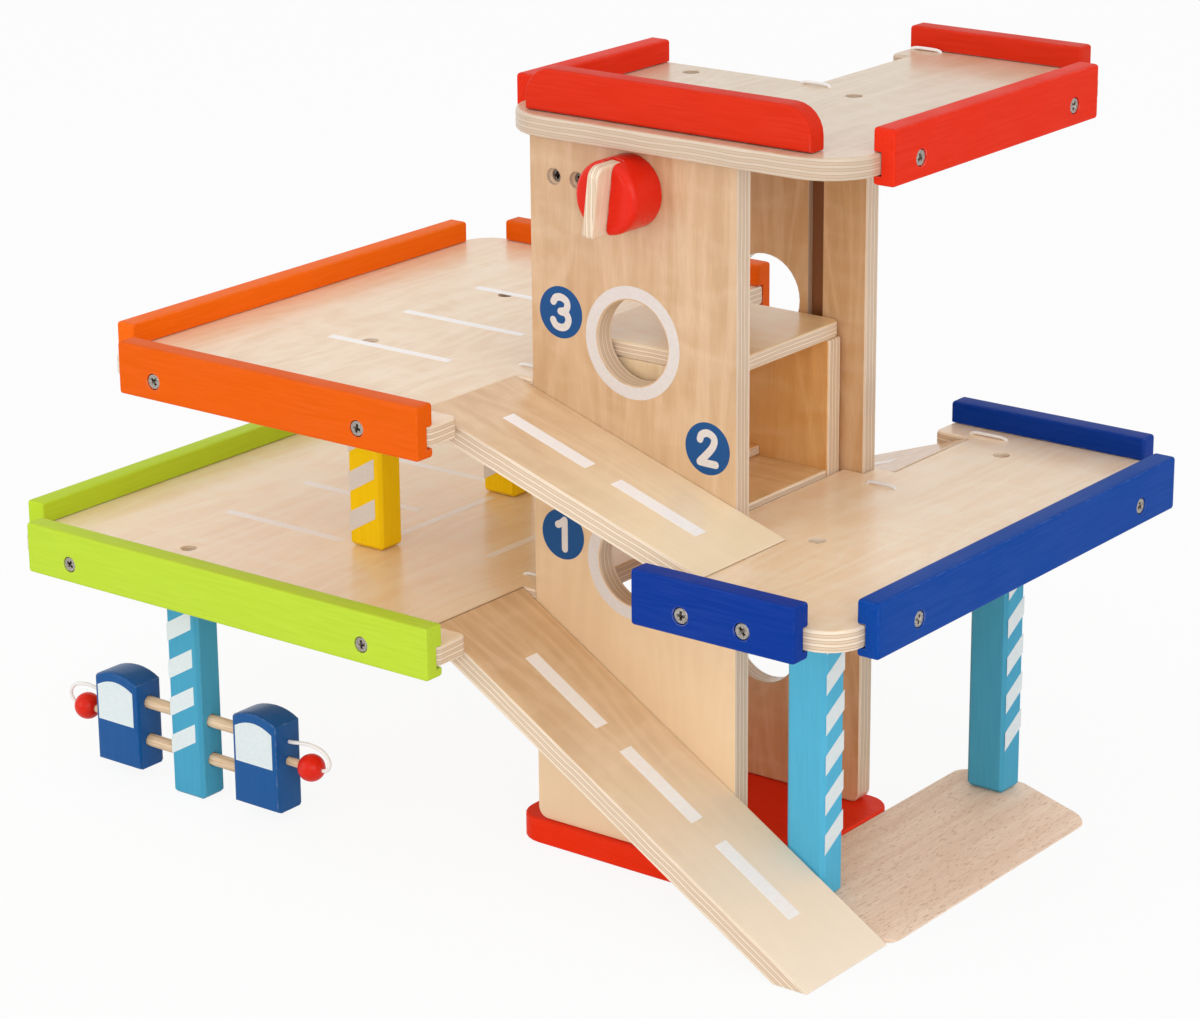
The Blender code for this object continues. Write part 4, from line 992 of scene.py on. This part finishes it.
# The heads' widths, and how deep the heads lie in their bores
RAIL_HEAD, WALL_HEAD, DECK_HEAD = 6.9, 5.6, 6.3
WALL_SINK, DECK_SINK = 2.7, 2.0
# The front wall's screws as (x, z), and those of the decks and the roof as (x, y, top)
WALL_SCREWS = [(12.7, 308.45), (24.8, 308.45)]
DECK_SCREWS = [
    (BLUE_COLUMN, BLUE_COLUMN_FRONT, BLUE_TOP), (BLUE_COLUMN, BLUE_COLUMN_BACK, BLUE_TOP),
    (GREEN_COLUMN, PUMP_LINE, GREEN_TOP), (GREEN_COLUMN, GREEN_COLUMN_BACK, GREEN_TOP),
    (YELLOW_COLUMN, FRONT_WALL_MIDDLE, ORANGE_TOP), (YELLOW_COLUMN, BACK_WALL_MIDDLE, ORANGE_TOP),
    (10.7, BACK_WALL_MIDDLE, ROOF_TOP), (97.3, BACK_WALL_MIDDLE, ROOF_TOP),
]
# How far each screw's cross is turned past the one before, within a quarter turn, in degrees
SCREW_TURN, QUARTER_TURN = 37.0, 90.0


def add_screws():
    """Screws with a cross recess: for the CAD ones in the rails, and in the other bores."""
    rail_mesh = screw_mesh(RAIL_HEAD, "rail_screw_mesh")
    wall_mesh = screw_mesh(WALL_HEAD, "wall_screw_mesh")
    deck_mesh = screw_mesh(DECK_HEAD, "deck_screw_mesh")
    rows = []
    for node in sorted(name for name in nodes if "_screw_" in name):
        low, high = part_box(node)
        point = (low + high) / 2
        if "rail_right" in node:
            facing, point.x = "right", high.x
        else:
            facing, point.y = "front", low.y
        rows.append((node + "_steel", point, facing, rail_mesh, node))
    for number, (x, z) in enumerate(WALL_SCREWS, start=1):
        rows.append((f"wall_screw_{number}", place(x, WALL_SINK, z), "front", wall_mesh, None))
    for number, (x, y, top) in enumerate(DECK_SCREWS, start=1):
        rows.append((f"deck_screw_{number}", place(x, y, top - DECK_SINK), "up", deck_mesh, None))
    for index, (name, point, facing, mesh, node) in enumerate(rows):
        spin = Matrix.Rotation(math.radians(SCREW_TURN * index % QUARTER_TURN), 4, "Z")
        own = mesh.copy()
        own.name = name
        own.transform(Matrix.Translation(point) @ HEAD_TURNS[facing] @ spin)
        # The front wall's sunk screws take the darker steel: painted shade
        look = sunk_steel_painted_shade_look if name.startswith("wall") else steel_look
        piece = add_piece(name, own, look, "garage")
        if node:
            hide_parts(node)
    for mesh in (rail_mesh, wall_mesh, deck_mesh):
        bpy.data.meshes.remove(mesh)


# A tube's end: how far it reaches past the route and how thick it is there, in radii
END_REACH, END_SHARE = 0.5, 0.35


def tube_mesh(route, diameter, name, steps=12):
    """A round tube along a route of points, with tapered ends."""
    shape = bmesh.new()
    radius = diameter / 2
    first = (route[1] - route[0]).normalized()
    last = (route[-1] - route[-2]).normalized()
    centres = [(route[0] - first * radius * END_REACH, first, END_SHARE)]
    for index, point in enumerate(route):
        before, after = route[max(index - 1, 0)], route[min(index + 1, len(route) - 1)]
        centres.append((point, (after - before).normalized(), 1.0))
    centres.append((route[-1] + last * radius * END_REACH, last, END_SHARE))
    side = first.orthogonal().normalized()
    rings = []
    for centre, ahead, share in centres:
        side = (side - ahead * side.dot(ahead)).normalized()
        other = ahead.cross(side)
        rings.append([
            shape.verts.new(
                centre + radius * share * (side * math.cos(math.tau * step / steps)
                                           + other * math.sin(math.tau * step / steps))
            )
            for step in range(steps)
        ])
    for ring, after in zip(rings, rings[1:]):
        for step in range(steps):
            beside = (step + 1) % steps
            shape.faces.new((ring[step], ring[beside], after[beside], after[step]))
    shape.faces.new(rings[0][::-1])
    shape.faces.new(rings[-1])
    mesh = as_mesh(shape, name)
    mesh.shade_smooth()
    return mesh


# A hose's route as (distance from the pump's outer side, height above the nozzle), the same as the
# CAD solid's
HOSE_ROWS = [
    (0.3, 9.5), (4.0, 9.9), (8.5, 10.6), (13.0, 10.9), (17.4, 10.4),
    (21.5, 9.0), (24.2, 6.0), (24.5, 3.2), (23.0, 0.9), (20.35, 0.0),
]
# Each pump's outer side: its direction, its place in X and its nozzle's height
PUMP_SIDES = {"left": (-1, -220.6, 26.3), "right": (1, -105.6, 29.2)}
HOSE_STEPS = 4


def add_hoses():
    """The white hose from each pump's outer side to its red ball."""
    for side, (sign, face, height) in PUMP_SIDES.items():
        points = [place(face + sign * out, PUMP_LINE, height + rise) for out, rise in HOSE_ROWS]
        route = smooth_route(points, HOSE_STEPS)
        name = "hose_" + side
        mesh = tube_mesh(route, HOSE_DIAMETER * MM, name + "_cord")
        hose = add_piece(name + "_cord", mesh, cord_look, None)
        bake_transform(hose)
        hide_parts(name)


# The steps from one end of a ball to the other and round it
BALL_STEPS, BALL_RING_STEPS = 29, 48
BALL_SHARP_ANGLE = math.radians(40.0)


def add_balls():
    """The red ball of each nozzle, with a flat at its peg and a dimple where the hose ends."""
    radius = BALL_DIAMETER / 2
    dimple = [(0.0, radius - 0.55), (0.9, radius - 0.5), (1.3, radius - 0.16)]
    angles = [math.pi * step / BALL_STEPS for step in range(3, BALL_STEPS - 2)]
    crown = [(radius * math.sin(angle), radius * math.cos(angle)) for angle in angles]
    flat = [(2.3, -radius * 0.931), (2.0, -radius * 0.935), (0.0, -radius * 0.935)]
    for side, (sign, face, height) in PUMP_SIDES.items():
        mesh = turned_mesh(dimple + crown + flat, BALL_RING_STEPS, "nozzle_ball")
        turn = Matrix.Rotation(sign * math.pi / 2, 4, "Y")
        middle = place(face + sign * BALL_OFFSET, PUMP_LINE, height)
        mesh.transform(Matrix.Translation(middle) @ turn)
        mesh.shade_smooth()
        mesh.set_sharp_from_angle(angle=BALL_SHARP_ANGLE)
        name = "nozzle_ball_" + side
        ball = add_piece(name + "_turned", mesh, red_gloss, "nozzle_" + side)
        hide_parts(name)


# Each raised loop of cord as (left x, right x, y, deck top)
LOOPS = {
    "roof_loop_front": (64.0, 79.0, 110.0, ROOF_TOP),
    "roof_loop_back": (62.0, 78.0, 201.0, ROOF_TOP),
    "blue_loop_front": (117.5, 132.5, 85.0, BLUE_TOP),
    "blue_loop_back": (115.5, 134.8, 173.0, BLUE_TOP),
    "orange_loop": (-18.0, -1.2, 13.0, ORANGE_TOP),
    "green_loop": (-17.0, -1.2, 13.0, GREEN_TOP),
}
LOOP_DIAMETER, LOOP_STEPS = 1.5, 3
# One half of a loop: how far in from its end, and the height above the deck
LOOP_HALF = [
    (0.0, -0.6), (0.5, 0.3), (1.8, LOOP_DIAMETER / 2), (4.5, LOOP_DIAMETER / 2 + 0.25),
]


def add_loops():
    """Short loops of white cord that lie on the decks beside the tower."""
    for name, (left, right, y, top) in LOOPS.items():
        rows = [(left + inwards, height) for inwards, height in LOOP_HALF]
        rows += [(right - inwards, height) for inwards, height in reversed(LOOP_HALF)]
        points = [place(x, y, top + height) for x, height in rows]
        mesh = tube_mesh(smooth_route(points, LOOP_STEPS), LOOP_DIAMETER * MM, name)
        add_piece(name, mesh, cord_look, "garage")


add_hoses()
add_balls()
add_deck_lines()
add_dashes()
add_stripes()
add_screens()
add_window_rings()
add_numbers()
add_screws()
add_loops()


# Floor, backdrop and light

# How far the floor lies below the garage and how far it reaches from the middle, in metres
FLOOR_DROP, FLOOR_REACH = 0.0003, 6.0
# The floor's grey, and the share of plain white over it for the rays that see the background
FLOOR_GREY, FLOOR_WHITE = 0.9, 0.9


def shows_background(tree):
    """1 for the rays that see the background: camera, glossy and transmission rays."""
    paths = tree.nodes.new("ShaderNodeLightPath")
    total = paths.outputs["Is Camera Ray"]
    for ray in ("Is Glossy Ray", "Is Transmission Ray"):
        node = tree.nodes.new("ShaderNodeMath")
        node.operation = "MAXIMUM"
        tree.links.new(total, node.inputs[0])
        tree.links.new(paths.outputs[ray], node.inputs[1])
        total = node.outputs[0]
    return total


def add_floor():
    """A plain white floor that keeps a soft shadow."""
    shape = bmesh.new()
    corners = [(-1, -1), (1, -1), (1, 1), (-1, 1)]
    verts = [shape.verts.new((x * FLOOR_REACH, y * FLOOR_REACH, -FLOOR_DROP)) for x, y in corners]
    shape.faces.new(verts)
    floor = bpy.data.objects.new("floor", as_mesh(shape, "floor"))
    link(floor)
    material = bpy.data.materials.new("floor")
    material.use_nodes = True
    tree = material.node_tree
    tree.nodes.clear()
    matte = tree.nodes.new("ShaderNodeBsdfDiffuse")
    matte.inputs["Color"].default_value = (FLOOR_GREY, FLOOR_GREY, FLOOR_GREY, 1.0)
    white = tree.nodes.new("ShaderNodeEmission")
    share = tree.nodes.new("ShaderNodeMath")
    share.operation = "MULTIPLY"
    share.inputs[1].default_value = FLOOR_WHITE
    tree.links.new(shows_background(tree), share.inputs[0])
    blend = tree.nodes.new("ShaderNodeMixShader")
    tree.links.new(share.outputs[0], blend.inputs[0])
    tree.links.new(matte.outputs[0], blend.inputs[1])
    tree.links.new(white.outputs[0], blend.inputs[2])
    out = tree.nodes.new("ShaderNodeOutputMaterial")
    tree.links.new(blend.outputs[0], out.inputs["Surface"])
    floor.data.materials.append(material)


WORLD_LEVEL = 0.77


def add_world():
    """Even studio light, and white where the camera and gloss see the background."""
    world = bpy.data.worlds.new("studio")
    bpy.context.scene.world = world
    world.use_nodes = True
    tree = world.node_tree
    back = tree.nodes["Background"]
    strength = tree.nodes.new("ShaderNodeMapRange")
    tree.links.new(shows_background(tree), strength.inputs[0])
    strength.inputs[3].default_value = WORLD_LEVEL
    strength.inputs[4].default_value = 1.0
    tree.links.new(strength.outputs[0], back.inputs["Strength"])
    back.inputs["Color"].default_value = (1.0, 1.0, 1.0, 1.0)


LAMP_TARGET = Vector((0.0, 0.0, 0.16))
# Each lamp: its direction from the garage, its distance and size in metres and its power in watts
LAMPS = {
    "key": ((-0.5, -0.85, 0.24), 2.2, 1.3, 7.0),
    "top": ((0.15, -0.45, 1.0), 2.4, 1.8, 4.0),
    "fill": ((0.85, -0.6, 0.35), 2.4, 1.6, 13.0),
    "glint": ((0.35, -0.88, 0.3), 2.0, 0.3, 2.0),
}


def add_lamp(name, direction, distance, size, power):
    """A square soft lamp that looks at the garage from a direction."""
    data = bpy.data.lights.new(name, "AREA")
    data.size = size
    data.energy = power
    lamp = bpy.data.objects.new(name, data)
    away = Vector(direction).normalized()
    lamp.location = LAMP_TARGET + away * distance
    lamp.rotation_mode = "QUATERNION"
    lamp.rotation_quaternion = away.to_track_quat("Z", "Y")
    link(lamp)


add_floor()
add_world()
for lamp_name, lamp_row in LAMPS.items():
    add_lamp(lamp_name, *lamp_row)

bpy.context.scene.view_settings.view_transform = "Standard"
